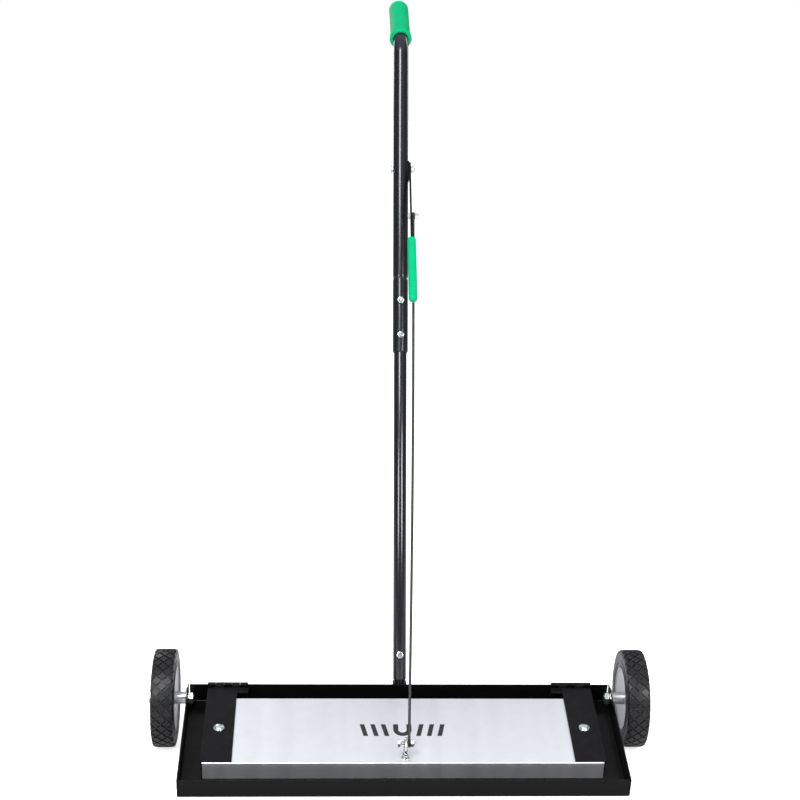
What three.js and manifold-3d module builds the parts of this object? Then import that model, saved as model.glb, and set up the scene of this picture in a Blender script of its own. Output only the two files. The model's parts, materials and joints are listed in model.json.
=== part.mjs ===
// Magnetic nail sweeper: a hinged bar of magnets in a wheeled tray, with a push handle and a
// release lever that lifts the magnets off the tray floor so that the nails drop.
//
// Units are millimetres. The pieces are laid out in the tray's own frame: X runs across the
// sweeper, Y from the front wall to the operator and Z up from the underside of the tray.
// At the end the whole sweeper is tipped forward until it stands at rest on its wheels and
// on the front edge of the tray, with the origin at the middle of its footprint, +Z up.

import * as THREE from 'three';
import { mergeVertices } from 'three/addons/utils/BufferGeometryUtils.js';
import Module from 'manifold-3d';

const wasm = await Module();
wasm.setup();

// Clearances
const GAP = 0.3; // between pieces that touch
const RUNNING = 0.3; // radial play of pins and bolts in their holes
const SIDE_PLAY = 0.5; // end play of a turning piece

// Tray, folded from one sheet
const TRAY_WIDTH = 762;
const TRAY_DEPTH = 250;
const TRAY_HEIGHT = 38;
const TRAY_SHEET = 2;
const TRAY_BEND = 4; // outer radius of the folds
const TRAY_SLIT = 1.2; // open corner between two walls

// Wheels and their axle bolts
const WHEEL_RADIUS = 87;
const TYRE_WIDTH = 41;
const TYRE_SHOULDER = 6; // rounding between the tread and the sidewall
const TYRE_BEAD = { width: 2, height: 1 };
const RIM_RADIUS = 55;
const RIM_INSET = 1; // rim's edge below the tyre's side
const DISC_SHEET = 1.6;
const DISC_FOLD = 2; // slope from the disc up to the rim
const DISC_DISH = 4; // how far the disc sinks from the rim to the hub
const HUB_RADIUS = 11;
const HUB_STANDOFF = 15.5; // hub length between the washer and the tyre's inner face
const HUB_PROUD = 1.5; // hub end beyond the tyre's outer face
const AXLE_SETBACK = 15; // axle in front of the tray's rear face
const AXLE_HEIGHT = 19;
const AXLE_RADIUS = 6.35;
const AXLE_HEAD = { flats: 19, height: 8 };
const AXLE_NUT = { flats: 19, height: 8 };
const AXLE_WASHER = { radius: 18.5, height: 2 };

// Magnet unit
const COVER_FRONT_GAP = 42; // cover to the inside of the front wall
const COVER_REAR_GAP = 35; // cover to the inside of the rear wall
const COVER_END_GAP = 37.5; // cover end to the inside of the side wall
const COVER_DROP = 1.5; // top of the cover below the tray's rim
const COVER_SHEET = 1.5;
const FLOOR_GAP = 0.5; // lips of the cover above the tray floor
const BACK_PLATE = { height: 2, endInset: 8, edgeInset: 9.5 };
const BLOCK = { depth: 38, floorGap: 5.4, gap: 2 };
const BLOCK_COUNT = 6;
const BLOCK_ROOM = 14; // bracket bolt to the nearest block

// End brackets that hang the magnet unit from its hinges
const BRACKET_WIDTH = 52.5;
const BRACKET_SHEET = 2;
const BRACKET_CORNER = 10;
const BRACKET_FRONT = 2.5; // bracket's end behind the cover's front edge
const FLANGE_PLAY = 1;
const FLANGE_DROP = 22;
const BRACKET_BOLT_SETBACK = 87; // from the cover's front edge
const DOME = { radius: 9.2, height: 4.5, shank: 3.9, end: 1 };
const DOME_NUT = { flats: 12.7, height: 6 };

// Hinges over the rear wall
const LEAF_LENGTH = 71.5;
const LEAF_SHEET = 1.5;
const MOVING_LEAF_DEPTH = 16.5;
const FIXED_LEAF_DEPTH = 26;
const BARREL_RADIUS = 3.4;
const RISER_OFFSET = 1; // moving leaf's riser in front of the barrels
const HINGE_PIN_RADIUS = 1.5;
const KNUCKLE_COUNT = 5;
const KNUCKLE_GAP = 0.4;

// Quarter-inch hardware, shared by the handle, the lever and the lifting eye
const BOLT_RADIUS = 3.175;
const BOLT_HEAD = { flats: 11.1, height: 4.4 };
const BOLT_NUT = { flats: 11.1, height: 5.6 };
const BOLT_END = 2.4; // thread that stands out of a nut

// Handle: a welded socket, two tubes and a grip
const SOCKET_RADIUS = 10.2;
const SOCKET_WALL = 1.6;
const SOCKET_PAD = { width: 64, thickness: 3, margin: 4 }; // margin from the wall's edges
const SOCKET_CHEEK = { thickness: 3, inset: 1, margin: 2, toe: 3, heel: 1 };
const SOCKET_FOOT = 10; // socket below the end of the lower tube
const SOCKET_LENGTH = 76; // socket inside the lower tube
const HANDLE_LEAN = THREE.MathUtils.degToRad(38);
const HANDLE_SETBACK = 18; // end of the lower tube behind the rear wall
const HANDLE_DROP = 4; // end of the lower tube below the rim
const LOWER_WALL = 1.4;
const UPPER_WALL = 2;
const LOWER_LENGTH = 740;
const TUBE_OVERLAP = 136;
const UPPER_STRAIGHT = 583;
const GROOVE = { width: 5, depth: 0.9 };
const GRIP_BEND = THREE.MathUtils.degToRad(42);
const GRIP_BEND_RADIUS = 55;
const GRIP_BEND_STEPS = 8;
const GRIP_LENGTH = 135;
const GRIP_RADIUS = 19.1;
const GRIP_MOUTH = { radius: 21.4, length: 9, rounding: 1.5 };
const GRIP_END = 7; // thickness and rounding of the grip's closed end
const BASE_BOLT_HEIGHT = 44;
const JOINT_BOLT_HEIGHTS = [30.4, 96.4]; // from the upper tube's lower end

// Release lever
const LEVER_PIVOT_DROP = 228.5; // pivot below the start of the handle's bend
const LEVER_LEAN = THREE.MathUtils.degToRad(21.7); // forward of the handle
const LEVER_BAR = { thickness: 3, width: 13, top: 16, inGrip: 110 };
const LEVER_ARM = 110; // pivot to the rod's bolt
const LEVER_GRIP_START = 159.5;
const LEVER_GRIP = { length: 143, edgeWall: 2, faceWall: 6.5, rounding: 6 };
const SPACER = { length: 38, width: 15, thickness: 1.7, drop: 4 };

// Release rod and lifting eye
const ROD_RADIUS = 2.4;
const ROD_BOW = 2.5; // sideways bow of the long rod
const ROD_STEPS = 16;
const ROD_EYE_RADIUS = 7;
const ROD_NECK = { radius: 3.2, length: 12 };
const EYE_SETBACK = 15; // from the cover's front edge
const EYE_X = 2;
const EYE_RING = { wire: 6, opening: 18 };
const EYE_NECK = 1.8; // ring above its nut
const EYE_WASHER = { radius: 8, height: 1.5 };
const EYE_THREAD = 14; // below the cover
const LIFTING_PLAY = 0.73; // lifting bolt from the wire of the ring, at rest
const LIFTING_HEAD_GAP = 6; // lifting bolt's head from the ring
const LIFTING_ANGLE = THREE.MathUtils.degToRad(19.5); // from the ring's centre to that bolt

// Sides of a turned piece
const WIRE = 12;
const SMALL = 16;
const ROUND = 32;
const FINE = 48;
const ARC_STEPS = 3; // of a small rounding in a profile

const AXIS = {
  x: new THREE.Vector3(1, 0, 0),
  y: new THREE.Vector3(0, 1, 0),
  z: new THREE.Vector3(0, 0, 1),
};

function finish(color, roughness, metalness) {
  return { color, roughness, metalness };
}

const FINISHES = {
  blackCoat: finish(0x151517, 0.42, 0.0),
  blackTube: finish(0x1c1c20, 0.25, 0.1),
  coverMetal: finish(0xd8dae2, 0.3, 0.9),
  zinc: finish(0xc9ccd0, 0.3, 1.0),
  steel: finish(0x8a8d92, 0.4, 1.0),
  ferrite: finish(0x2b2b2e, 0.8, 0.1),
  rubber: finish(0x2c2c2e, 0.85, 0.0),
  hubPaint: finish(0xb9bcc2, 0.4, 0.6),
  greenVinyl: finish(0x00a870, 0.38, 0.0),
};

// ---------------------------------------------------------------- solids

function toSolid(geometry) {
  const bare = geometry.clone();
  bare.deleteAttribute('normal');
  bare.deleteAttribute('uv');
  const merged = mergeVertices(bare, 1e-4);
  return new wasm.Manifold(
    new wasm.Mesh({
      numProp: 3,
      vertProperties: Float32Array.from(merged.attributes.position.array),
      triVerts: Uint32Array.from(merged.index.array),
    }),
  );
}

function toGeometry(solid) {
  const mesh = solid.getMesh();
  const geometry = new THREE.BufferGeometry();
  geometry.setAttribute('position', new THREE.BufferAttribute(mesh.vertProperties, 3));
  geometry.setIndex(new THREE.BufferAttribute(mesh.triVerts, 1));
  const flat = geometry.toNonIndexed();
  flat.computeVertexNormals();
  return flat;
}

function joined(first, ...others) {
  return others.reduce((solid, other) => solid.add(other), first);
}

function cut(solid, ...tools) {
  return tools.reduce((rest, tool) => rest.subtract(tool), solid);
}

// Turns a geometry made along +Z so that it points along a direction, and moves it.
function aim(geometry, direction, origin = new THREE.Vector3()) {
  const turn = new THREE.Quaternion().setFromUnitVectors(AXIS.z, direction.clone().normalize());
  geometry.applyQuaternion(turn);
  geometry.translate(origin.x, origin.y, origin.z);
  return geometry;
}

function box(low, high) {
  const size = high.map((value, i) => value - low[i]);
  const middle = high.map((value, i) => (value + low[i]) / 2);
  return new THREE.BoxGeometry(...size).translate(...middle);
}

// Solid of revolution about Z from [radius, height] corners of a closed profile.
function turned(profile, segments) {
  const points = profile.map(([radius, height]) => new THREE.Vector2(radius, height));
  return new THREE.LatheGeometry(points, segments).rotateX(Math.PI / 2);
}

// Profile points of a rounding about a centre, from one angle to another.
function rounding([radius, height], size, from, to, steps = ARC_STEPS) {
  return Array.from({ length: steps + 1 }, (_, i) => {
    const angle = from + ((to - from) * i) / steps;
    return [radius + size * Math.cos(angle), height + size * Math.sin(angle)];
  });
}

function rod(radius, length, segments = SMALL) {
  return turned([[0, 0], [radius, 0], [radius, length], [0, length]], segments);
}

function ring(outer, inner, length, segments = SMALL) {
  const profile = [[inner, 0], [outer, 0], [outer, length], [inner, length], [inner, 0]];
  return turned(profile, segments);
}

function hexagon(flats, hole) {
  const corner = flats / Math.sqrt(3);
  const shape = new THREE.Shape();
  for (let i = 0; i < 6; i += 1) {
    const angle = (i * Math.PI) / 3;
    const point = [corner * Math.cos(angle), corner * Math.sin(angle)];
    if (i === 0) shape.moveTo(...point);
    else shape.lineTo(...point);
  }
  shape.closePath();
  if (hole) shape.holes.push(new THREE.Path().absarc(0, 0, hole, 0, 2 * Math.PI, true));
  return shape;
}

function prism(shape, height, curveSegments = 6) {
  return new THREE.ExtrudeGeometry(shape, { depth: height, bevelEnabled: false, curveSegments });
}

// Hex bolt along -Z: the underside of its head is at z = 0.
function hexBolt(radius, head, length) {
  const overlap = head.height / 2;
  const shank = rod(radius, length + overlap).translate(0, 0, -length);
  return toGeometry(joined(toSolid(prism(hexagon(head.flats), head.height)), toSolid(shank)));
}

function hexNut(radius, nut) {
  return prism(hexagon(nut.flats, radius + RUNNING), nut.height);
}

// Rectangle in the XY plane with one size for all its rounded corners.
function roundedRectangle(x0, y0, x1, y1, radius) {
  const shape = new THREE.Shape();
  shape.moveTo(x0 + radius, y0);
  shape.lineTo(x1 - radius, y0);
  shape.absarc(x1 - radius, y0 + radius, radius, -Math.PI / 2, 0);
  shape.lineTo(x1, y1 - radius);
  shape.absarc(x1 - radius, y1 - radius, radius, 0, Math.PI / 2);
  shape.lineTo(x0 + radius, y1);
  shape.absarc(x0 + radius, y1 - radius, radius, Math.PI / 2, Math.PI);
  shape.lineTo(x0, y0 + radius);
  shape.absarc(x0 + radius, y0 + radius, radius, Math.PI, 1.5 * Math.PI);
  return shape;
}

// A path through chosen corners: an extrusion along it has one section at each of them.
class CornerPath extends THREE.Curve {
  constructor(corners) {
    super();
    this.corners = corners;
  }

  index(u) {
    return Math.round(u * (this.corners.length - 1));
  }

  getPoint(u, target = new THREE.Vector3()) {
    return target.copy(this.corners[this.index(u)]);
  }

  getPointAt(u, target) {
    return this.getPoint(u, target);
  }

  getSpacedPoints() {
    return this.corners.map((corner) => corner.clone());
  }

  getTangentAt(u, target = new THREE.Vector3()) {
    const i = this.index(u);
    const before = this.corners[Math.max(i - 1, 0)];
    const after = this.corners[Math.min(i + 1, this.corners.length - 1)];
    return target.copy(after).sub(before).normalize();
  }
}

function along(corners, outer, inner, segments = SMALL) {
  const section = new THREE.Shape().absarc(0, 0, outer, 0, 2 * Math.PI);
  if (inner) section.holes.push(new THREE.Path().absarc(0, 0, inner, 0, 2 * Math.PI, true));
  return new THREE.ExtrudeGeometry(section, {
    extrudePath: new CornerPath(corners),
    steps: corners.length - 1,
    curveSegments: segments / 2,
  });
}

// ---------------------------------------------------------------- assembly helpers

function mesh(name, geometry, look) {
  const material = new THREE.MeshStandardMaterial(look);
  const piece = new THREE.Mesh(geometry, material);
  piece.name = name;
  return piece;
}

function sideName(side) {
  return side < 0 ? 'left' : 'right';
}

const sweeper = new THREE.Group();
const SIDES = [-1, 1];

// ---------------------------------------------------------------- shared places

const trayInside = { x: TRAY_WIDTH / 2 - TRAY_SHEET, rear: TRAY_DEPTH - TRAY_SHEET };
const axle = new THREE.Vector3(0, TRAY_DEPTH - AXLE_SETBACK, AXLE_HEIGHT);
const washerX = TRAY_WIDTH / 2 + GAP;
const hubX = washerX + AXLE_WASHER.height + SIDE_PLAY;
const wheelX = hubX + HUB_STANDOFF + TYRE_WIDTH / 2;
const hubLength = HUB_STANDOFF + TYRE_WIDTH + HUB_PROUD;

const coverTop = TRAY_HEIGHT - COVER_DROP;
const coverX = trayInside.x - COVER_END_GAP;
const coverFront = TRAY_SHEET + COVER_FRONT_GAP;
const coverRear = trayInside.rear - COVER_REAR_GAP;
const coverMiddle = (coverFront + coverRear) / 2;
const plateTop = coverTop - COVER_SHEET - GAP;
const plateBottom = plateTop - BACK_PLATE.height;
const blockTop = plateBottom - GAP;
const bracketX = coverX + FLANGE_PLAY + BRACKET_SHEET;
const bracketBottom = coverTop + GAP;
const bracketTop = bracketBottom + BRACKET_SHEET;
const bracketBolt = {
  x: bracketX - BRACKET_WIDTH / 2,
  y: coverFront + BRACKET_BOLT_SETBACK,
};
const leafBottom = bracketBottom - GAP - LEAF_SHEET;
const hinge = {
  y: trayInside.rear - GAP - BARREL_RADIUS,
  z: bracketTop + GAP + BARREL_RADIUS,
};
const eyeNutTop = coverTop + GAP + EYE_WASHER.height + GAP + BOLT_NUT.height;
const eyeRadius = EYE_RING.opening / 2 + EYE_RING.wire;
const eye = new THREE.Vector3(EYE_X, coverFront + EYE_SETBACK, eyeNutTop + EYE_NECK + eyeRadius);

const lowerRadius = SOCKET_RADIUS + GAP + LOWER_WALL;
const upperRadius = lowerRadius + GAP + UPPER_WALL;
const handleFoot = new THREE.Vector3(0, TRAY_DEPTH + HANDLE_SETBACK, TRAY_HEIGHT - HANDLE_DROP);
const upperFoot = LOWER_LENGTH - TUBE_OVERLAP;
const bendStart = upperFoot + UPPER_STRAIGHT;
const leverPivot = bendStart - LEVER_PIVOT_DROP;
const leverFace = upperRadius + GAP + SPACER.thickness;
const rodTopX = leverFace + LEVER_BAR.thickness + GAP + ROD_RADIUS;
const rodEndX = EYE_X + EYE_RING.wire / 2 + SIDE_PLAY + ROD_RADIUS;

// Place in the tray's frame of a point on the handle's axis plane.
function onHandle(height) {
  const lift = new THREE.Vector3(0, Math.sin(HANDLE_LEAN), Math.cos(HANDLE_LEAN));
  return handleFoot.clone().addScaledVector(lift, height);
}

// ---------------------------------------------------------------- tray and wheels

// Block with folded lower edges, the outside or the inside of the tray.
function foldedBlock(halfWidth, front, rear, bottom, top, radius) {
  const over = radius + TRAY_HEIGHT;
  const acrossFront = prism(roundedRectangle(front, bottom, rear, top + over, radius), 2 * halfWidth);
  acrossFront.rotateX(Math.PI / 2).rotateZ(Math.PI / 2).translate(-halfWidth, 0, 0);
  const alongSide = prism(
    roundedRectangle(-halfWidth, bottom, halfWidth, top + over, radius),
    rear - front,
  );
  alongSide.rotateX(Math.PI / 2).translate(0, rear, 0);
  const lid = box([-TRAY_WIDTH, -TRAY_DEPTH, top], [TRAY_WIDTH, 2 * TRAY_DEPTH, top + 2 * over]);
  return toSolid(acrossFront).intersect(toSolid(alongSide)).subtract(toSolid(lid));
}

function tray() {
  const outside = foldedBlock(TRAY_WIDTH / 2, 0, TRAY_DEPTH, 0, TRAY_HEIGHT, TRAY_BEND);
  const inside = foldedBlock(
    trayInside.x, TRAY_SHEET, trayInside.rear, TRAY_SHEET,
    TRAY_HEIGHT + TRAY_SHEET, TRAY_BEND - TRAY_SHEET,
  );
  const slits = [];
  const holes = [];
  for (const side of SIDES) {
    for (const [low, high] of [[-1, TRAY_SHEET], [trayInside.rear, TRAY_DEPTH + 1]]) {
      const x = side * (trayInside.x - TRAY_SLIT / 2);
      const slit = box(
        [x - TRAY_SLIT / 2, low, TRAY_BEND + TRAY_SHEET],
        [x + TRAY_SLIT / 2, high, TRAY_HEIGHT + 1],
      );
      slits.push(toSolid(slit));
    }
    const start = axle.clone().setX(side * (trayInside.x - 1));
    const hole = rod(AXLE_RADIUS + RUNNING, TRAY_SHEET + 2);
    holes.push(toSolid(aim(hole, AXIS.x.clone().multiplyScalar(side), start)));
  }
  return toGeometry(cut(outside, inside, ...slits, ...holes));
}

function tyre() {
  const half = TYRE_WIDTH / 2;
  const inner = RIM_RADIUS + GAP;
  const shoulder = WHEEL_RADIUS - TYRE_SHOULDER;
  const edge = half - TYRE_SHOULDER;
  const profile = [
    [inner, TYRE_BEAD.height - half],
    [inner + TYRE_BEAD.width, -half],
    ...rounding([shoulder, -edge], TYRE_SHOULDER, -Math.PI / 2, 0),
    ...rounding([shoulder, edge], TYRE_SHOULDER, 0, Math.PI / 2),
    [inner + TYRE_BEAD.width, half],
    [inner, half - TYRE_BEAD.height],
    [inner, TYRE_BEAD.height - half],
  ];
  return turned(profile, FINE);
}

// Half of the pressed steel wheel: a dished disc with a rim that reaches the wheel's middle.
function wheelDisc(facing) {
  const face = facing * (TYRE_WIDTH / 2 - RIM_INSET);
  const sheet = facing * DISC_SHEET;
  const dish = facing * DISC_DISH;
  const bore = HUB_RADIUS + GAP;
  const fold = RIM_RADIUS - DISC_SHEET - DISC_FOLD / 2;
  const profile = [
    [bore, face - dish], [fold - DISC_FOLD, face - sheet], [fold, face], [RIM_RADIUS, face],
    [RIM_RADIUS, facing * GAP], [RIM_RADIUS - DISC_SHEET, facing * GAP],
    [RIM_RADIUS - DISC_SHEET, face - 2 * sheet], [bore, face - dish - sheet], [bore, face - dish],
  ];
  return turned(facing > 0 ? profile.reverse() : profile, FINE);
}

function addWheel(side) {
  const name = sideName(side);
  const outward = AXIS.x.clone().multiplyScalar(side);
  const wheel = new THREE.Group();
  wheel.position.copy(axle).setX(side * wheelX);
  wheel.quaternion.setFromUnitVectors(AXIS.z, outward);
  wheel.add(mesh(`tyre_${name}`, tyre(), FINISHES.rubber));
  wheel.add(mesh(`wheel_disc_outer_${name}`, wheelDisc(1), FINISHES.hubPaint));
  wheel.add(mesh(`wheel_disc_inner_${name}`, wheelDisc(-1), FINISHES.hubPaint));
  const bush = ring(HUB_RADIUS, AXLE_RADIUS + RUNNING, hubLength, ROUND);
  bush.translate(0, 0, hubX - wheelX);
  wheel.add(mesh(`wheel_bush_${name}`, bush, FINISHES.hubPaint));
  sweeper.add(wheel);
}

function addAxle(side) {
  const name = sideName(side);
  const outward = AXIS.x.clone().multiplyScalar(side);
  const headX = hubX + hubLength + SIDE_PLAY;
  const nutX = trayInside.x - GAP - AXLE_NUT.height;
  const place = (x) => axle.clone().setX(side * x);
  const bolt = hexBolt(AXLE_RADIUS, AXLE_HEAD, headX - nutX + 1);
  sweeper.add(mesh(`axle_bolt_${name}`, aim(bolt, outward, place(headX)), FINISHES.zinc));
  const nut = hexNut(AXLE_RADIUS, AXLE_NUT);
  sweeper.add(mesh(`axle_nut_${name}`, aim(nut, outward, place(nutX)), FINISHES.zinc));
  const washer = ring(AXLE_WASHER.radius, AXLE_RADIUS + RUNNING, AXLE_WASHER.height, ROUND);
  sweeper.add(mesh(`axle_washer_${name}`, aim(washer, outward, place(washerX)), FINISHES.zinc));
}

// ---------------------------------------------------------------- magnet unit

function verticalHole(x, y, radius, low, high) {
  return toSolid(rod(radius, high - low).translate(x, y, low));
}

function magnetCover() {
  const lipBottom = TRAY_SHEET + FLOOR_GAP;
  const outer = box([-coverX, coverFront, lipBottom], [coverX, coverRear, coverTop]);
  const inner = box(
    [-coverX - 1, coverFront + COVER_SHEET, lipBottom - 1],
    [coverX + 1, coverRear - COVER_SHEET, coverTop - COVER_SHEET],
  );
  return toGeometry(cut(toSolid(outer), toSolid(inner), ...fixingHoles(coverTop, COVER_SHEET)));
}

// Holes for the two bracket bolts and the lifting eye through a sheet below a level.
function fixingHoles(top, thickness) {
  const low = top - thickness - 1;
  const high = top + 1;
  const domes = SIDES.map((side) =>
    verticalHole(side * bracketBolt.x, bracketBolt.y, DOME.shank + RUNNING, low, high));
  return [...domes, verticalHole(eye.x, eye.y, BOLT_RADIUS + RUNNING, low, high)];
}

function backPlate() {
  const x = coverX - BACK_PLATE.endInset;
  const plate = box(
    [-x, coverFront + BACK_PLATE.edgeInset, plateBottom],
    [x, coverRear - BACK_PLATE.edgeInset, plateTop],
  );
  return toGeometry(cut(toSolid(plate), ...fixingHoles(plateTop, BACK_PLATE.height)));
}

function addMagnetBlocks() {
  const rowLength = 2 * (bracketBolt.x - BLOCK_ROOM);
  const pitch = (rowLength + BLOCK.gap) / BLOCK_COUNT;
  for (let i = 0; i < BLOCK_COUNT; i += 1) {
    const x = -rowLength / 2 + i * pitch;
    const block = box(
      [x, coverMiddle - BLOCK.depth / 2, TRAY_SHEET + BLOCK.floorGap],
      [x + pitch - BLOCK.gap, coverMiddle + BLOCK.depth / 2, blockTop],
    );
    sweeper.add(mesh(`magnet_block_${i + 1}`, block, FINISHES.ferrite));
  }
}

// Bracket on top of one end of the cover, with a flange folded down over the cover's end.
function endBracket(side) {
  const inner = bracketX - BRACKET_WIDTH;
  const front = coverFront + BRACKET_FRONT;
  const rear = hinge.y - BARREL_RADIUS - RISER_OFFSET - SIDE_PLAY;
  const outline = new THREE.Shape();
  outline.moveTo(inner, front);
  outline.lineTo(bracketX, front);
  outline.lineTo(bracketX, rear - BRACKET_CORNER);
  outline.absarc(bracketX - BRACKET_CORNER, rear - BRACKET_CORNER, BRACKET_CORNER, 0, Math.PI / 2);
  outline.lineTo(inner, rear);
  outline.closePath();
  const top = prism(outline, BRACKET_SHEET).translate(0, 0, bracketBottom);
  const flange = box(
    [bracketX - BRACKET_SHEET, front, bracketTop - FLANGE_DROP],
    [bracketX, coverRear, bracketTop],
  );
  const hole = verticalHole(
    bracketBolt.x, bracketBolt.y, DOME.shank + RUNNING, bracketBottom - 1, bracketTop + 1);
  const bracket = toGeometry(cut(joined(toSolid(top), toSolid(flange)), hole));
  return side > 0 ? bracket : mirrored(bracket);
}

function mirrored(geometry) {
  const flipped = geometry.clone().scale(-1, 1, 1);
  const positions = flipped.attributes.position;
  for (let i = 0; i < positions.count; i += 3) {
    const second = new THREE.Vector3().fromBufferAttribute(positions, i + 1);
    const third = new THREE.Vector3().fromBufferAttribute(positions, i + 2);
    positions.setXYZ(i + 1, ...third);
    positions.setXYZ(i + 2, ...second);
  }
  flipped.computeVertexNormals();
  return flipped;
}

function addBracketFixing(side) {
  const name = sideName(side);
  const nutTop = plateBottom - GAP;
  const length = bracketTop + GAP - nutTop + DOME_NUT.height + DOME.end;
  const sphere = (DOME.radius ** 2 + DOME.height ** 2) / (2 * DOME.height);
  const centre = DOME.height - sphere;
  const cap = rounding([0, centre], sphere, Math.asin(-centre / sphere), Math.PI / 2, 4);
  cap[cap.length - 1][0] = 0;
  const dome = [[0, -length], [DOME.shank, -length], [DOME.shank, 0], ...cap];
  const bolt = mesh(`bracket_bolt_${name}`, turned(dome, ROUND), FINISHES.zinc);
  bolt.position.set(side * bracketBolt.x, bracketBolt.y, bracketTop + GAP);
  const nut = mesh(`bracket_nut_${name}`, hexNut(DOME.shank, DOME_NUT), FINISHES.zinc);
  nut.position.set(side * bracketBolt.x, bracketBolt.y, nutTop - DOME_NUT.height);
  sweeper.add(bolt, nut);
}

// ---------------------------------------------------------------- hinges

// Stretch along X of each knuckle, counted from the hinge's inner end.
function knuckleSpan(i) {
  const length = (LEAF_LENGTH - (KNUCKLE_COUNT - 1) * KNUCKLE_GAP) / KNUCKLE_COUNT;
  const start = bracketX - LEAF_LENGTH + i * (length + KNUCKLE_GAP);
  return [start, start + length];
}

// A leaf of the hinge: its plate, and a knuckle with a neck for every second place.
function hingeLeaf(side, first, plate, neck) {
  const parts = [toSolid(plate)];
  const bores = [];
  for (let i = first; i < KNUCKLE_COUNT; i += 2) {
    const [start, end] = knuckleSpan(i);
    const place = new THREE.Vector3(start, hinge.y, hinge.z);
    parts.push(toSolid(neck(start, end)));
    parts.push(toSolid(aim(rod(BARREL_RADIUS, end - start), AXIS.x, place)));
    const bore = rod(HINGE_PIN_RADIUS + RUNNING, end - start + 2);
    bores.push(toSolid(aim(bore, AXIS.x, place.clone().setX(start - 1))));
  }
  const leaf = toGeometry(cut(joined(...parts), ...bores));
  return side > 0 ? leaf : mirrored(leaf);
}

// The moving leaf lies under its bracket and rises behind it to the knuckles.
function movingLeaf(side) {
  const front = hinge.y - MOVING_LEAF_DEPTH;
  const riser = hinge.y - BARREL_RADIUS - RISER_OFFSET;
  const rear = riser + LEAF_SHEET;
  const top = leafBottom + LEAF_SHEET;
  const plate = box([bracketX - LEAF_LENGTH, front, leafBottom], [bracketX, rear, top]);
  const neck = (start, end) => box([start, riser, leafBottom], [end, rear, hinge.z]);
  return hingeLeaf(side, 1, plate, neck);
}

function fixedLeaf(side) {
  const back = trayInside.rear - GAP;
  const top = hinge.z - BARREL_RADIUS - SIDE_PLAY;
  const plate = box(
    [bracketX - LEAF_LENGTH, back - LEAF_SHEET, top - FIXED_LEAF_DEPTH], [bracketX, back, top]);
  const neck = (start, end) => box([start, back - LEAF_SHEET, top - 1], [end, back, hinge.z]);
  return hingeLeaf(side, 0, plate, neck);
}

function addHinge(side) {
  const name = sideName(side);
  const start = side > 0 ? bracketX - LEAF_LENGTH : -bracketX;
  const place = new THREE.Vector3(start, hinge.y, hinge.z);
  const pin = aim(rod(HINGE_PIN_RADIUS, LEAF_LENGTH), AXIS.x, place);
  sweeper.add(mesh(`hinge_leaf_fixed_${name}`, fixedLeaf(side), FINISHES.blackCoat));
  sweeper.add(mesh(`hinge_leaf_moving_${name}`, movingLeaf(side), FINISHES.blackCoat));
  sweeper.add(mesh(`hinge_pin_${name}`, pin, FINISHES.zinc));
}

// ---------------------------------------------------------------- handle

// Everything on the handle is laid out with Z along the tubes and -Y to the front.
const handle = new THREE.Group();
handle.position.copy(handleFoot);
handle.rotation.x = -HANDLE_LEAN;
sweeper.add(handle);

function crossHole(height) {
  const reach = 2 * upperRadius;
  const hole = rod(BOLT_RADIUS + RUNNING, 2 * reach);
  return toSolid(aim(hole, AXIS.y, new THREE.Vector3(0, -reach, height)));
}

function sideHole(height) {
  const reach = 2 * upperRadius;
  const hole = rod(BOLT_RADIUS + RUNNING, 2 * reach);
  return toSolid(aim(hole, AXIS.x, new THREE.Vector3(-reach, 0, height)));
}

function straightTube(radius, wall, length, foot) {
  return toSolid(ring(radius, radius - wall, length, ROUND).translate(0, 0, foot));
}

// Pad on the rear wall, two cheeks and the tube that the handle is pushed over.
function handleSocket() {
  const tube = straightTube(SOCKET_RADIUS, SOCKET_WALL, SOCKET_FOOT + SOCKET_LENGTH, -SOCKET_FOOT);
  const toHandle = new THREE.Matrix4().compose(
    handleFoot,
    new THREE.Quaternion().setFromAxisAngle(AXIS.x, -HANDLE_LEAN),
    new THREE.Vector3(1, 1, 1),
  ).invert();
  const padBack = TRAY_DEPTH + GAP + SOCKET_PAD.thickness;
  const pad = box(
    [-SOCKET_PAD.width / 2, TRAY_DEPTH + GAP, SOCKET_PAD.margin],
    [SOCKET_PAD.width / 2, padBack, TRAY_HEIGHT - SOCKET_PAD.margin],
  ).applyMatrix4(toHandle);
  const cheeks = SIDES.map((side) => {
    const cheek = prism(cheekOutline(padBack, toHandle), SOCKET_CHEEK.thickness);
    cheek.rotateX(Math.PI / 2).rotateZ(Math.PI / 2);
    const inner = SOCKET_RADIUS - SOCKET_CHEEK.inset;
    const start = side > 0 ? inner : -inner - SOCKET_CHEEK.thickness;
    return toSolid(cheek.translate(start, 0, 0));
  });
  const bore = rod(SOCKET_RADIUS - SOCKET_WALL, SOCKET_LENGTH + 2 * SOCKET_FOOT, ROUND);
  const solid = joined(tube, toSolid(pad), ...cheeks);
  return toGeometry(cut(
    solid, toSolid(bore.translate(0, 0, -1.5 * SOCKET_FOOT)), crossHole(BASE_BOLT_HEIGHT)));
}

// Cheek outline as [Y, Z] of the handle's frame: from the pad to the back of the socket.
function cheekOutline(padBack, toHandle) {
  const { margin, toe, heel } = SOCKET_CHEEK;
  const low = SOCKET_PAD.margin + margin;
  const high = TRAY_HEIGHT - low;
  const pad = [[padBack - 1, high], [padBack - 1, low], [padBack + toe, low]];
  const corners = pad.map(([y, z]) => new THREE.Vector3(0, y, z).applyMatrix4(toHandle));
  const outline = new THREE.Shape();
  outline.moveTo(corners[0].y, Math.min(corners[0].z, -heel));
  outline.lineTo(corners[1].y, corners[1].z);
  outline.lineTo(corners[2].y, corners[2].z);
  outline.lineTo(SOCKET_RADIUS, -SOCKET_FOOT);
  outline.lineTo(SOCKET_RADIUS, -heel);
  outline.closePath();
  return outline;
}

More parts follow.
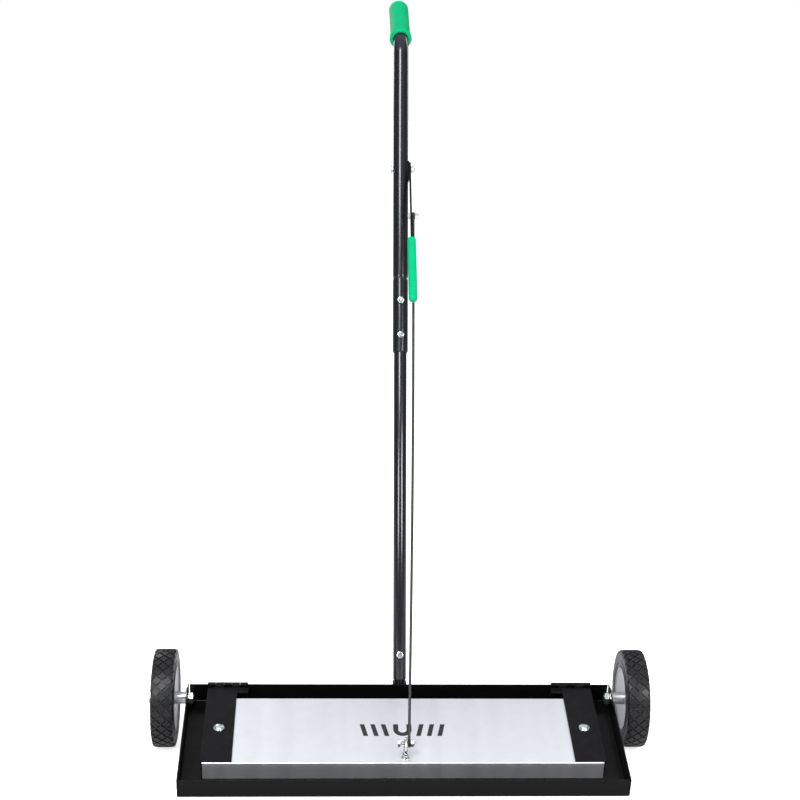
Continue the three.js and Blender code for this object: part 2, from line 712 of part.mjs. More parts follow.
function lowerTube() {
  const tube = straightTube(lowerRadius, LOWER_WALL, LOWER_LENGTH, 0);
  const joints = JOINT_BOLT_HEIGHTS.map((height) => crossHole(upperFoot + height));
  return toGeometry(cut(tube, crossHole(BASE_BOLT_HEIGHT), ...joints));
}

// Corners of the upper tube's axis: straight, round the bend and to the end inside the grip.
function upperPath() {
  const corners = [new THREE.Vector3(0, 0, upperFoot), new THREE.Vector3(0, 0, bendStart)];
  for (let i = 1; i <= GRIP_BEND_STEPS; i += 1) {
    const angle = (GRIP_BEND * i) / GRIP_BEND_STEPS;
    corners.push(new THREE.Vector3(
      0,
      GRIP_BEND_RADIUS * (1 - Math.cos(angle)),
      bendStart + GRIP_BEND_RADIUS * Math.sin(angle),
    ));
  }
  const gripDirection = new THREE.Vector3(0, Math.sin(GRIP_BEND), Math.cos(GRIP_BEND));
  const mouth = corners[corners.length - 1];
  corners.push(mouth.clone().addScaledVector(gripDirection, GRIP_LENGTH - GRIP_END - 1));
  return { corners, mouth, gripDirection };
}

function upperTube() {
  const tube = along(upperPath().corners, upperRadius, upperRadius - UPPER_WALL, ROUND);
  const joints = JOINT_BOLT_HEIGHTS.map((height) => crossHole(upperFoot + height));
  const half = GROOVE.width / 2;
  const outside = upperRadius + 1;
  const profile = [
    [outside, -half], [outside, half], [upperRadius, half],
    [upperRadius - GROOVE.depth, 0], [upperRadius, -half], [outside, -half],
  ];
  const groove = turned(profile, ROUND).translate(0, 0, LOWER_LENGTH + GROOVE.width);
  return toGeometry(cut(toSolid(tube), ...joints, sideHole(leverPivot), toSolid(groove)));
}

function handleGrip() {
  const bore = upperRadius + GAP;
  const innerEnd = GRIP_LENGTH - GRIP_END;
  const profile = [
    [bore, 0],
    [GRIP_MOUTH.radius - GRIP_MOUTH.rounding, 0],
    [GRIP_MOUTH.radius, GRIP_MOUTH.rounding],
    [GRIP_MOUTH.radius, GRIP_MOUTH.length / 2],
    [GRIP_RADIUS, GRIP_MOUTH.length],
    ...rounding([GRIP_RADIUS - GRIP_END, innerEnd], GRIP_END, 0, Math.PI / 2),
    [0, GRIP_LENGTH], [0, innerEnd], [bore, innerEnd], [bore, 0],
  ];
  const { mouth, gripDirection } = upperPath();
  return aim(turned(profile, ROUND), gripDirection, mouth);
}

// Bolt across the tubes with its head to the front and its nut to the rear.
// Bolts a tube from front to rear, with the bolt's head on the side that headSide points to.
function addTubeBolt(name, height, radius, headSide) {
  const nutSide = headSide.clone().negate();
  const reach = radius + GAP;
  const place = (side) => side.clone().multiplyScalar(reach).setZ(height);
  const length = 2 * reach + BOLT_NUT.height + BOLT_END;
  const bolt = aim(hexBolt(BOLT_RADIUS, BOLT_HEAD, length), headSide, place(headSide));
  const nut = aim(hexNut(BOLT_RADIUS, BOLT_NUT), nutSide, place(nutSide));
  handle.add(mesh(`${name}_bolt`, bolt, FINISHES.zinc));
  handle.add(mesh(`${name}_nut`, nut, FINISHES.zinc));
}

// ---------------------------------------------------------------- release lever

// The lever is laid out with -Z from the pivot to its grip.
const lever = new THREE.Group();
lever.position.set(0, 0, leverPivot);
lever.rotation.x = -LEVER_LEAN;
handle.add(lever);

function leverSpacer() {
  const middle = leverPivot - SPACER.drop;
  const block = box(
    [0, -SPACER.width / 2, middle - SPACER.length / 2],
    [leverFace - GAP, SPACER.width / 2, middle + SPACER.length / 2],
  );
  const tube = rod(upperRadius + GAP, 2 * SPACER.length, ROUND);
  tube.translate(0, 0, leverPivot - SPACER.length);
  return toGeometry(cut(toSolid(block), toSolid(tube), sideHole(leverPivot)));
}

function leverBar() {
  const half = LEVER_BAR.width / 2;
  const end = LEVER_GRIP_START + LEVER_BAR.inGrip;
  const outline = new THREE.Shape();
  outline.moveTo(-half, LEVER_BAR.top - half);
  outline.lineTo(-half, -end);
  outline.lineTo(half, -end);
  outline.lineTo(half, LEVER_BAR.top - half);
  outline.absarc(0, LEVER_BAR.top - half, half, 0, Math.PI);
  for (const height of [0, -LEVER_ARM]) {
    const hole = BOLT_RADIUS + RUNNING;
    outline.holes.push(new THREE.Path().absarc(0, height, hole, 0, 2 * Math.PI, true));
  }
  return prism(outline, LEVER_BAR.thickness, 8).rotateX(Math.PI / 2).rotateZ(Math.PI / 2)
    .translate(leverFace, 0, 0);
}

// Dipped vinyl grip: a long rounded pad with a slot for the bar.
function leverGrip() {
  const edge = LEVER_GRIP.rounding;
  const middle = leverFace + LEVER_BAR.thickness / 2;
  const half = LEVER_BAR.width / 2 + LEVER_GRIP.edgeWall - edge;
  const thickness = LEVER_BAR.thickness + 2 * (LEVER_GRIP.faceWall - edge);
  const low = -LEVER_GRIP_START - LEVER_GRIP.length + edge;
  const outline = roundedRectangle(-half, low, half, -LEVER_GRIP_START - edge, half - 0.05);
  const pad = new THREE.ExtrudeGeometry(outline, {
    depth: thickness,
    bevelThickness: edge,
    bevelSize: edge,
    bevelSegments: 4,
    curveSegments: 2,
  });
  pad.translate(0, 0, -thickness / 2).rotateX(Math.PI / 2).rotateZ(Math.PI / 2);
  const slotHalf = LEVER_BAR.width / 2 + GAP;
  const slot = box(
    [-LEVER_BAR.thickness / 2 - GAP, -slotHalf, -LEVER_GRIP_START - LEVER_BAR.inGrip - GAP],
    [LEVER_BAR.thickness / 2 + GAP, slotHalf, 0],
  );
  return toGeometry(cut(toSolid(pad), toSolid(slot)).translate([middle, 0, 0]));
}

function addLever() {
  const left = AXIS.x.clone().negate();
  lever.add(mesh('lever_bar', leverBar(), FINISHES.blackCoat));
  lever.add(mesh('lever_grip', leverGrip(), FINISHES.greenVinyl));
  handle.add(mesh('lever_spacer', leverSpacer(), FINISHES.blackCoat));

  const pivotNutX = leverFace + LEVER_BAR.thickness + GAP;
  const pivotLength = pivotNutX + BOLT_NUT.height + BOLT_END + upperRadius + GAP;
  const pivotHead = new THREE.Vector3(-(upperRadius + GAP), 0, leverPivot);
  const pivotNut = new THREE.Vector3(pivotNutX, 0, leverPivot);
  const pivotBolt = aim(hexBolt(BOLT_RADIUS, BOLT_HEAD, pivotLength), left, pivotHead);
  handle.add(mesh('lever_pivot_bolt', pivotBolt, FINISHES.zinc));
  const nut = aim(hexNut(BOLT_RADIUS, BOLT_NUT), AXIS.x, pivotNut);
  handle.add(mesh('lever_pivot_nut', nut, FINISHES.zinc));

  const headX = leverFace - GAP;
  const nutX = rodTopX + ROD_RADIUS + GAP;
  const rodBolt = hexBolt(BOLT_RADIUS, BOLT_HEAD, nutX + BOLT_NUT.height + BOLT_END - headX);
  const place = (x) => new THREE.Vector3(x, 0, -LEVER_ARM);
  lever.add(mesh('rod_bolt', aim(rodBolt, left, place(headX)), FINISHES.zinc));
  const rodNut = aim(hexNut(BOLT_RADIUS, BOLT_NUT), AXIS.x, place(nutX));
  lever.add(mesh('rod_nut', rodNut, FINISHES.zinc));
}

// ---------------------------------------------------------------- release rod and lifting eye

function rodEnds() {
  const lean = HANDLE_LEAN + LEVER_LEAN;
  const toRod = new THREE.Vector3(0, -Math.sin(lean), -Math.cos(lean));
  const top = onHandle(leverPivot).addScaledVector(toRod, LEVER_ARM).setX(rodTopX);
  const offset = EYE_RING.opening / 2 - BOLT_RADIUS - LIFTING_PLAY;
  const bottom = new THREE.Vector3(
    rodEndX,
    eye.y + offset * Math.cos(LIFTING_ANGLE),
    eye.z + offset * Math.sin(LIFTING_ANGLE),
  );
  return { top, bottom };
}

// Flat eye at an end of the rod, centred on its bolt, with a neck towards the rod.
function rodEye(centre, towards) {
  const disc = rod(ROD_EYE_RADIUS, 2 * ROD_RADIUS);
  const place = centre.clone().setX(centre.x - ROD_RADIUS);
  const eyeDisc = toSolid(aim(disc, AXIS.x, place));
  const neck = aim(rod(ROD_NECK.radius, ROD_NECK.length, WIRE), towards, centre);
  const room = 2 * ROD_NECK.length;
  const slab = box([-ROD_RADIUS, -room, -room], [ROD_RADIUS, room, room]);
  slab.translate(centre.x, centre.y, centre.z);
  return joined(eyeDisc, toSolid(neck).intersect(toSolid(slab)));
}

function releaseRod() {
  const { top, bottom } = rodEnds();
  const corners = [];
  for (let i = 0; i <= ROD_STEPS; i += 1) {
    const share = i / ROD_STEPS;
    const point = bottom.clone().lerp(top, share);
    point.x += ROD_BOW * Math.sin(Math.PI * share);
    corners.push(point);
  }
  const direction = top.clone().sub(bottom).setX(0).normalize();
  const shaft = toSolid(along(corners, ROD_RADIUS, 0, WIRE));
  const ends = [rodEye(bottom, direction), rodEye(top, direction.clone().negate())];
  const bores = [bottom, top].map((centre) => {
    const reach = 2 * ROD_RADIUS;
    const bore = rod(BOLT_RADIUS + RUNNING, 2 * reach);
    return toSolid(aim(bore, AXIS.x, centre.clone().setX(centre.x - reach)));
  });
  return toGeometry(cut(joined(shaft, ...ends), ...bores));
}

function addLiftingBolt() {
  const { bottom } = rodEnds();
  const left = AXIS.x.clone().negate();
  const headX = EYE_X - EYE_RING.wire / 2 - LIFTING_HEAD_GAP;
  const nutX = bottom.x + ROD_RADIUS + GAP;
  const bolt = hexBolt(BOLT_RADIUS, BOLT_HEAD, nutX + BOLT_NUT.height + BOLT_END - headX);
  sweeper.add(mesh('lifting_bolt', aim(bolt, left, bottom.clone().setX(headX)), FINISHES.zinc));
  const nut = aim(hexNut(BOLT_RADIUS, BOLT_NUT), AXIS.x, bottom.clone().setX(nutX));
  sweeper.add(mesh('lifting_bolt_nut', nut, FINISHES.zinc));
}

function eyeBolt() {
  const middle = eye.clone().setX(eye.x - EYE_RING.wire / 2);
  const loop = toSolid(aim(rod(eyeRadius, EYE_RING.wire, ROUND), AXIS.x, middle));
  const opening = rod(EYE_RING.opening / 2, EYE_RING.wire + 2, ROUND);
  const openingSolid = toSolid(aim(opening, AXIS.x, middle.clone().setX(middle.x - 1)));
  const shankTop = eye.z - EYE_RING.opening / 2 - EYE_RING.wire / 2;
  const shankLow = coverTop - EYE_THREAD;
  const shank = toSolid(rod(BOLT_RADIUS, shankTop - shankLow).translate(eye.x, eye.y, shankLow));
  return toGeometry(cut(joined(loop, shank), openingSolid));
}

function addEyeHardware() {
  sweeper.add(mesh('eye_bolt', eyeBolt(), FINISHES.zinc));
  const washer = mesh(
    'eye_washer', ring(EYE_WASHER.radius, BOLT_RADIUS + RUNNING, EYE_WASHER.height), FINISHES.zinc);
  washer.position.set(eye.x, eye.y, coverTop + GAP);
  const upper = mesh('eye_nut_upper', hexNut(BOLT_RADIUS, BOLT_NUT), FINISHES.zinc);
  upper.position.set(eye.x, eye.y, eyeNutTop - BOLT_NUT.height);
  const lower = mesh('eye_nut_lower', hexNut(BOLT_RADIUS, BOLT_NUT), FINISHES.zinc);
  lower.position.set(eye.x, eye.y, plateBottom - GAP - BOLT_NUT.height);
  sweeper.add(washer, upper, lower);
}

// ---------------------------------------------------------------- the sweeper

sweeper.add(mesh('tray', tray(), FINISHES.blackCoat));
sweeper.add(mesh('magnet_cover', magnetCover(), FINISHES.coverMetal));
sweeper.add(mesh('back_plate', backPlate(), FINISHES.steel));
addMagnetBlocks();
for (const side of SIDES) {
  addWheel(side);
  addAxle(side);
  sweeper.add(mesh(`end_bracket_${sideName(side)}`, endBracket(side), FINISHES.blackCoat));
  addBracketFixing(side);
  addHinge(side);
}

handle.add(mesh('handle_socket', handleSocket(), FINISHES.blackCoat));
handle.add(mesh('lower_tube', lowerTube(), FINISHES.blackTube));
handle.add(mesh('upper_tube', upperTube(), FINISHES.blackTube));
handle.add(mesh('handle_grip', handleGrip(), FINISHES.greenVinyl));
addTubeBolt('handle_base', BASE_BOLT_HEIGHT, lowerRadius, AXIS.y.clone().negate());
addTubeBolt('handle_joint_lower', upperFoot + JOINT_BOLT_HEIGHTS[0], upperRadius, AXIS.y);
addTubeBolt('handle_joint_upper', upperFoot + JOINT_BOLT_HEIGHTS[1], upperRadius, AXIS.y);

addLever();
sweeper.add(mesh('release_rod', releaseRod(), FINISHES.blackCoat));
addLiftingBolt();
addEyeHardware();

// Tip forward until the wheels and the folded front edge touch one floor.
function restingTilt() {
  const reach = axle.y - TRAY_BEND;
  const rise = axle.z - TRAY_BEND;
  const span = Math.hypot(reach, rise);
  return Math.asin((WHEEL_RADIUS - TRAY_BEND) / span) - Math.atan2(rise, reach);
}

sweeper.rotation.x = restingTilt();
const bounds = new THREE.Box3().setFromObject(sweeper, true);
const middle = bounds.getCenter(new THREE.Vector3());
sweeper.position.set(-middle.x, -middle.y, -bounds.min.z);

export default sweeper;
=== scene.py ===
"""Magnetic nail sweeper: its finishes and fine shapes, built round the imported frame.

Lengths are metres in the row frame: X across the sweeper, Y from its front to the operator,
Z up from the floor. Every piece takes its place from the frame's own nodes and joints.
"""

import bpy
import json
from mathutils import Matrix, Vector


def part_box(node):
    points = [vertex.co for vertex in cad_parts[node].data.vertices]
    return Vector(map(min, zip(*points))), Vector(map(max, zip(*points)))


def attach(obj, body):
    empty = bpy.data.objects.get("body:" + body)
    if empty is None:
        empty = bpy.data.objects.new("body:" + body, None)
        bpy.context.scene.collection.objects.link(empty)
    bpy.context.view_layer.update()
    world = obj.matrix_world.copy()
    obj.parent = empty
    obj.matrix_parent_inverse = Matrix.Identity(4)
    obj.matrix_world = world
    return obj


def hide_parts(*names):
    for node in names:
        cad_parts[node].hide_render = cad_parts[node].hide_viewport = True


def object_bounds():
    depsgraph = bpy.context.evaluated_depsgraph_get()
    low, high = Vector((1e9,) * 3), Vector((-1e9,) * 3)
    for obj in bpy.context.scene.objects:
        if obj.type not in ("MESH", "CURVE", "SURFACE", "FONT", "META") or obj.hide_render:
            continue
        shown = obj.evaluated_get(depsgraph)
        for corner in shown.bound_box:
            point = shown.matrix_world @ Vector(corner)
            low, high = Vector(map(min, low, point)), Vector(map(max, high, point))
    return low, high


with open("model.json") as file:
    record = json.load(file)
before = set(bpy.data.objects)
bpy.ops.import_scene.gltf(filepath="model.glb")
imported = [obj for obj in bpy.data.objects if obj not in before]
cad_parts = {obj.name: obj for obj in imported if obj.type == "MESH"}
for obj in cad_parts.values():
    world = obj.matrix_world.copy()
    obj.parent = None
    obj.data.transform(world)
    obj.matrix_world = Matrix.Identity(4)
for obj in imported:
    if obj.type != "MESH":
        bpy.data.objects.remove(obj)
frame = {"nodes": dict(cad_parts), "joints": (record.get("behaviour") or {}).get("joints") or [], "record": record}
CAD_BOX = [list(corner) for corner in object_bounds()]

import json
import logging
import math
import random
from dataclasses import dataclass, field
from enum import Enum
from typing import Callable, Iterable, Optional, Sequence

import bmesh
import bpy
import numpy as np
from mathutils import Matrix, Vector

LOG = logging.getLogger("sweeper")
MM = 0.001
Colour = tuple[float, float, float]
Profile = Sequence[tuple[float, float]]


class Side(Enum):
    """The two ends of the sweeper, seen from its front."""

    LEFT = -1
    RIGHT = 1

    @property
    def label(self) -> str:
        """Name of the side, as the frame's nodes spell it."""
        return self.name.lower()


class Body(Enum):
    """Bodies of the frame that pieces ride on."""

    FRAME = "frame"
    MAGNET = "magnet_unit"
    LEVER = "release_lever"
    ROD = "release_rod"
    WHEEL_LEFT = "wheel_left"
    WHEEL_RIGHT = "wheel_right"


# ------------------------------------------------------------------ places


@dataclass(frozen=True)
class Place:
    """An origin and three square axes in the row frame."""

    origin: Vector
    x: Vector
    y: Vector
    z: Vector

    @property
    def matrix(self) -> Matrix:
        """Matrix from this place to the row frame."""
        turn = Matrix((self.x, self.y, self.z)).transposed().to_4x4()
        return Matrix.Translation(self.origin) @ turn

    def point(self, x: float, y: float, z: float) -> Vector:
        """Row-frame point of local coordinates."""
        return self.origin + self.x * x + self.y * y + self.z * z

    def moved(self, x: float = 0.0, y: float = 0.0, z: float = 0.0) -> "Place":
        """The same axes with the origin moved along them."""
        return Place(self.point(x, y, z), self.x, self.y, self.z)

    def coordinates(self, node: str) -> np.ndarray:
        """Local coordinates of a frame node's vertices, one row each."""
        points = np.array([v.co for v in frame["nodes"][node].data.vertices], float)
        axes = np.array([self.x, self.y, self.z], float)
        return (points - np.array(self.origin, float)) @ axes.T

    def box(self, node: str) -> tuple[Vector, Vector]:
        """Lowest and highest local corner of a frame node."""
        points = self.coordinates(node)
        return Vector(points.min(0)), Vector(points.max(0))


def square_place(origin: Vector, z: Vector, x_hint: Vector) -> Place:
    """Makes a place from its Z axis and a direction near its X axis.

    Args:
        origin: Where the place is.
        z: Direction of its Z axis.
        x_hint: Direction whose square part becomes X.

    Returns:
        The place.
    """
    up = z.normalized()
    side = (x_hint - up * x_hint.dot(up)).normalized()
    return Place(origin.copy(), side, up.cross(side), up)


def joint_point(name: str) -> Vector:
    """Position of a joint of the frame."""
    found = next(joint for joint in frame["joints"] if joint["name"] == name)
    return Vector(found["pos_m"])


def middle(node: str) -> Vector:
    """Middle of a node's box in the row frame."""
    low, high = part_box(node)
    return (low + high) / 2


def tray_place() -> Place:
    """Place on the tray's underside, with Z square to its floor and Y to the operator."""
    mount = next(m for m in frame["record"]["mounts"] if m["name"] == "tray_underside")
    return square_place(Vector(mount["pos_m"]), -Vector(mount["axis"]), Vector((1, 0, 0)))


def handle_place() -> Place:
    """Place at the lever's pivot, with Z up along the straight tubes."""
    along = middle("handle_joint_upper_bolt") - middle("handle_joint_lower_bolt")
    pivot = joint_point("lever_pivot")
    pivot.x = 0.0
    return square_place(pivot, along, Vector((1, 0, 0)))


def lever_place() -> Place:
    """Place at the lever's pivot, with Z from its grip up to the pivot."""
    pivot = joint_point("lever_pivot")
    rod = joint_point("rod_pivot")
    pivot.x = rod.x = 0.0
    return square_place(pivot, pivot - rod, Vector((1, 0, 0)))


@dataclass(frozen=True)
class RoundPiece:
    """A turned or six-sided piece of the frame, measured about its own axis.

    Attributes:
        place: Centre of the piece, with Z along its axis towards its head or far end.
        low: Lowest height along the axis.
        high: Highest height along the axis.
        radius: Largest distance from the axis.
    """

    place: Place
    low: float
    high: float
    radius: float

    @property
    def length(self) -> float:
        """Length along the axis."""
        return self.high - self.low


def measure_round(node: str, towards: Vector) -> RoundPiece:
    """Finds the axis and size of a turned or six-sided node.

    Args:
        node: The frame's node.
        towards: Direction that the axis should point in.

    Returns:
        The measured piece; its X axis points to one of its widest corners.
    """
    points = np.array([v.co for v in frame["nodes"][node].data.vertices], float)
    points = np.unique(points.round(7), axis=0)
    centre = points.mean(0)
    values, vectors = np.linalg.eigh(np.cov((points - centre).T))
    odd = 2 if values[2] - values[1] > values[1] - values[0] else 0
    axis = Vector(vectors[:, odd])
    if axis.dot(towards) < 0:
        axis.negate()
    offsets = points - centre
    heights = offsets @ np.array(axis)
    spokes = offsets - np.outer(heights, np.array(axis))
    reach = np.linalg.norm(spokes, axis=1)
    corner = Vector(spokes[int(reach.argmax())])
    place = square_place(Vector(centre), axis, corner)
    return RoundPiece(place, float(heights.min()), float(heights.max()), float(reach.max()))


# ------------------------------------------------------------------ shader helpers


class Net:
    """Adds and joins the nodes of one shader tree."""

    def __init__(self, tree: bpy.types.NodeTree) -> None:
        """Takes the tree to work in."""
        self.tree = tree

    def add(self, kind: str, inputs: Optional[dict] = None, **settings: object) -> bpy.types.Node:
        """Adds a node.

        Args:
            kind: Class name of the node without its "ShaderNode" prefix.
            inputs: Socket name or number to a value, or to a socket that feeds it.
            settings: Properties of the node.

        Returns:
            The node.
        """
        node = self.tree.nodes.new("ShaderNode" + kind)
        for name, value in settings.items():
            setattr(node, name, value)
        for key, value in (inputs or {}).items():
            if isinstance(value, bpy.types.NodeSocket):
                self.tree.links.new(value, node.inputs[key])
            else:
                node.inputs[key].default_value = value
        return node

    def math(self, operation: str, first: object, second: object = 0.0) -> bpy.types.NodeSocket:
        """Adds a Math node and returns its value."""
        return self.add("Math", {0: first, 1: second}, operation=operation).outputs[0]

    def band(self, value: bpy.types.NodeSocket, low: float, high: float) -> bpy.types.NodeSocket:
        """Maps low..high of a value to 0..1, clamped."""
        inputs = {"Value": value, "From Min": low, "From Max": high}
        return self.add("MapRange", inputs).outputs["Result"]

    def mix(self, share: object, first: object, second: object) -> bpy.types.NodeSocket:
        """Mixes two colours by a share."""
        node = self.add("Mix", data_type="RGBA")
        for key, value in ((0, share), (6, first), (7, second)):
            if isinstance(value, bpy.types.NodeSocket):
                self.tree.links.new(value, node.inputs[key])
            elif key:
                node.inputs[key].default_value = (*value[:3], 1.0)
            else:
                node.inputs[key].default_value = value
        return node.outputs[2]

    def use(self, group: bpy.types.NodeTree, **values: object) -> bpy.types.Node:
        """Places a node group with its own values; underscores in names stand for spaces."""
        node = self.add("Group")
        node.node_tree = group
        for name, value in values.items():
            node.inputs[name.replace("_", " ")].default_value = value
        return node


def new_group(name: str, inputs: dict[str, float], outputs: Sequence[str]) -> tuple:
    """Starts a shader node group.

    Args:
        name: The group's name.
        inputs: Names of its value sockets and their defaults.
        outputs: Names of its value outputs.

    Returns:
        The group, its net, its input node and its output node.
    """
    group = bpy.data.node_groups.new(name, "ShaderNodeTree")
    for label, default in inputs.items():
        socket = group.interface.new_socket(label, in_out="INPUT", socket_type="NodeSocketFloat")
        socket.default_value = default
    for label in outputs:
        group.interface.new_socket(label, in_out="OUTPUT", socket_type="NodeSocketFloat")
    net = Net(group)
    return group, net, net.tree.nodes.new("NodeGroupInput"), net.tree.nodes.new("NodeGroupOutput")


class Effects:
    """Surface effects that several finishes share, each one node group."""

    def __init__(self) -> None:
        """Builds every group once."""
        self.peel = self._peel()
        self.wear = self._wear()
        self.dust = self._dust()
        self.streaks = self._streaks()
        self.grit = self._grit()

    @staticmethod
    def _noise(net: Net, scale: object, detail: float, vector: bpy.types.NodeSocket,
               roughness: float = 0.55) -> bpy.types.NodeSocket:
        """Adds a noise texture and returns its value."""
        inputs = {"Vector": vector, "Scale": scale, "Detail": detail, "Roughness": roughness}
        return net.add("TexNoise", inputs).outputs[0]

    def _peel(self) -> bpy.types.NodeTree:
        """Orange peel of sprayed or powdered coatings: a height and a slow change of tone."""
        group, net, given, made = new_group("orange_peel", {"Scale": 900.0}, ("Height", "Tone"))
        spot = net.add("TexCoord").outputs["Object"]
        fine = self._noise(net, given.outputs["Scale"], 2.0, spot, 0.4)
        slow = self._noise(net, 14.0, 3.0, spot)
        net.tree.links.new(fine, made.inputs["Height"])
        net.tree.links.new(net.band(slow, 0.3, 0.7), made.inputs["Tone"])
        return group

    def _wear(self) -> bpy.types.NodeTree:
        """Rubbed edges, and the painted glints on the tyre's block edges: a mask that is strong where the surface
        turns sharply.
        """
        values = {"Radius": 0.0007, "Amount": 0.5, "Break Scale": 260.0}
        group, net, given, made = new_group("edge_wear", values, ("Mask",))
        spot = net.add("TexCoord").outputs["Object"]
        smooth = net.add("Bevel", {"Radius": given.outputs["Radius"]}, samples=4).outputs[0]
        true = net.add("NewGeometry").outputs["Normal"]
        agree = net.add("VectorMath", {0: smooth, 1: true},
                        operation="DOT_PRODUCT").outputs["Value"]
        edge = net.band(agree, 0.995, 0.86)
        patch = net.band(self._noise(net, given.outputs["Break Scale"], 4.0, spot, 0.65),
                         0.45, 0.62)
        worn = net.math("MULTIPLY", edge, patch)
        net.tree.links.new(net.math("MULTIPLY", worn, given.outputs["Amount"]), made.inputs["Mask"])
        return group

    def _dust(self) -> bpy.types.NodeTree:
        """Light dust that settles on faces that look up."""
        values = {"Amount": 0.1, "Scale": 60.0}
        group, net, given, made = new_group("settled_dust", values, ("Mask",))
        spot = net.add("TexCoord").outputs["Object"]
        up = net.add("SeparateXYZ", {0: net.add("NewGeometry").outputs["Normal"]}).outputs["Z"]
        lying = net.band(up, 0.35, 1.0)
        cloud = net.band(self._noise(net, given.outputs["Scale"], 6.0, spot, 0.7), 0.4, 0.75)
        mask = net.math("MULTIPLY", net.math("MULTIPLY", lying, cloud), given.outputs["Amount"])
        net.tree.links.new(mask, made.inputs["Mask"])
        return group

    def _streaks(self) -> bpy.types.NodeTree:
        """Rolling or drawing lines that run along Y of the sheet."""
        values = {"Fineness": 900.0, "Stretch": 0.02}
        group, net, given, made = new_group("drawn_streaks", values, ("Height", "Tone"))
        spot = net.add("TexCoord").outputs["Object"]
        scale = net.add("CombineXYZ", {0: 1.0, 1: given.outputs["Stretch"],
                                       2: given.outputs["Stretch"]}).outputs[0]
        drawn = net.add("VectorMath", {0: spot, 1: scale}, operation="MULTIPLY").outputs[0]
        fine = self._noise(net, given.outputs["Fineness"], 3.0, drawn, 0.6)
        wide = self._noise(net, 40.0, 2.0, drawn, 0.5)
        net.tree.links.new(fine, made.inputs["Height"])
        net.tree.links.new(net.band(wide, 0.3, 0.7), made.inputs["Tone"])
        return group

    def _grit(self) -> bpy.types.NodeTree:
        """Grain of moulded rubber, sintered or cast surfaces."""
        group, net, given, made = new_group("moulded_grit", {"Scale": 1500.0}, ("Height", "Tone"))
        spot = net.add("TexCoord").outputs["Object"]
        fine = self._noise(net, given.outputs["Scale"], 3.0, spot, 0.7)
        slow = self._noise(net, 45.0, 4.0, spot, 0.6)
        net.tree.links.new(fine, made.inputs["Height"])
        net.tree.links.new(net.band(slow, 0.3, 0.7), made.inputs["Tone"])
        return group


EFFECTS = Effects()


# ------------------------------------------------------------------ finishes


@dataclass(frozen=True)
class Finish:
    """Common values of every finish.

    Attributes:
        name: Name of the material.
        colour: Base colour, linear.
        roughness: Middle roughness.
        spread: How far the roughness changes over the surface.
        relief: Strength of the surface's bump.
    """

    name: str
    colour: Colour
    roughness: float
    spread: float = 0.06
    relief: float = 0.1

    def start(self) -> tuple[bpy.types.Material, Net, bpy.types.Node]:
        """Makes the material with its bare Principled shader."""
        material = bpy.data.materials.new(self.name)
        material.use_nodes = True
        net = Net(material.node_tree)
        shader = material.node_tree.nodes["Principled BSDF"]
        return material, net, shader

    def rough(self, net: Net, shader: bpy.types.Node, tone: bpy.types.NodeSocket,
              extra: Optional[bpy.types.NodeSocket] = None) -> None:
        """Feeds the roughness with its middle value, a change by tone and an extra mask."""
        value = net.math("MULTIPLY_ADD", tone, self.spread)
        value.node.inputs[2].default_value = self.roughness - self.spread / 2
        if extra is not None:
            value = net.math("ADD", value, net.math("MULTIPLY", extra, 0.3))
        net.tree.links.new(value, shader.inputs["Roughness"])

    def bump(self, net: Net, shader: bpy.types.Node, height: bpy.types.NodeSocket,
             depth: float) -> None:
        """Feeds the normal with a bump of a height in metres."""
        inputs = {"Strength": self.relief, "Distance": depth, "Height": height}
        node = net.add("Bump", inputs)
        net.tree.links.new(node.outputs[0], shader.inputs["Normal"])


@dataclass(frozen=True)
class Coating(Finish):
    """Paint or powder over metal, rubbed to the metal along its edges.

    Attributes:
        specular: Specular level of the coating.
        peel: Scale of the orange peel.
        worn: Strength of the rubbed edges.
        dusty: Strength of the dust on faces that look up.
        under: Colour that shows where the coating is rubbed through.
        metal: Share of metal flake in the coating.
        coat: Clear coat weight.
    """

    specular: float = 0.3
    peel: float = 900.0
    worn: float = 0.5
    dusty: float = 0.05
    under: Colour = (0.16, 0.16, 0.165)
    metal: float = 0.0
    coat: float = 0.0

    def build(self) -> bpy.types.Material:
        """Makes the material."""
        material, net, shader = self.start()
        peel = net.use(EFFECTS.peel, Scale=self.peel)
        wear = net.use(EFFECTS.wear, Amount=self.worn).outputs["Mask"]
        dust = net.use(EFFECTS.dust, Amount=self.dusty).outputs["Mask"]
        darker = tuple(0.8 * value for value in self.colour)
        tone = net.mix(peel.outputs["Tone"], darker, self.colour)
        rubbed = net.mix(wear, tone, self.under)
        final = net.mix(dust, rubbed, (0.42, 0.40, 0.37))
        net.tree.links.new(final, shader.inputs["Base Color"])
        shader.inputs["Metallic"].default_value = self.metal
        shader.inputs["Specular IOR Level"].default_value = self.specular
        shader.inputs["Coat Weight"].default_value = self.coat
        shader.inputs["Coat Roughness"].default_value = 0.12
        self.rough(net, shader, peel.outputs["Tone"], dust)
        self.bump(net, shader, peel.outputs["Height"], 0.0004)
        return material


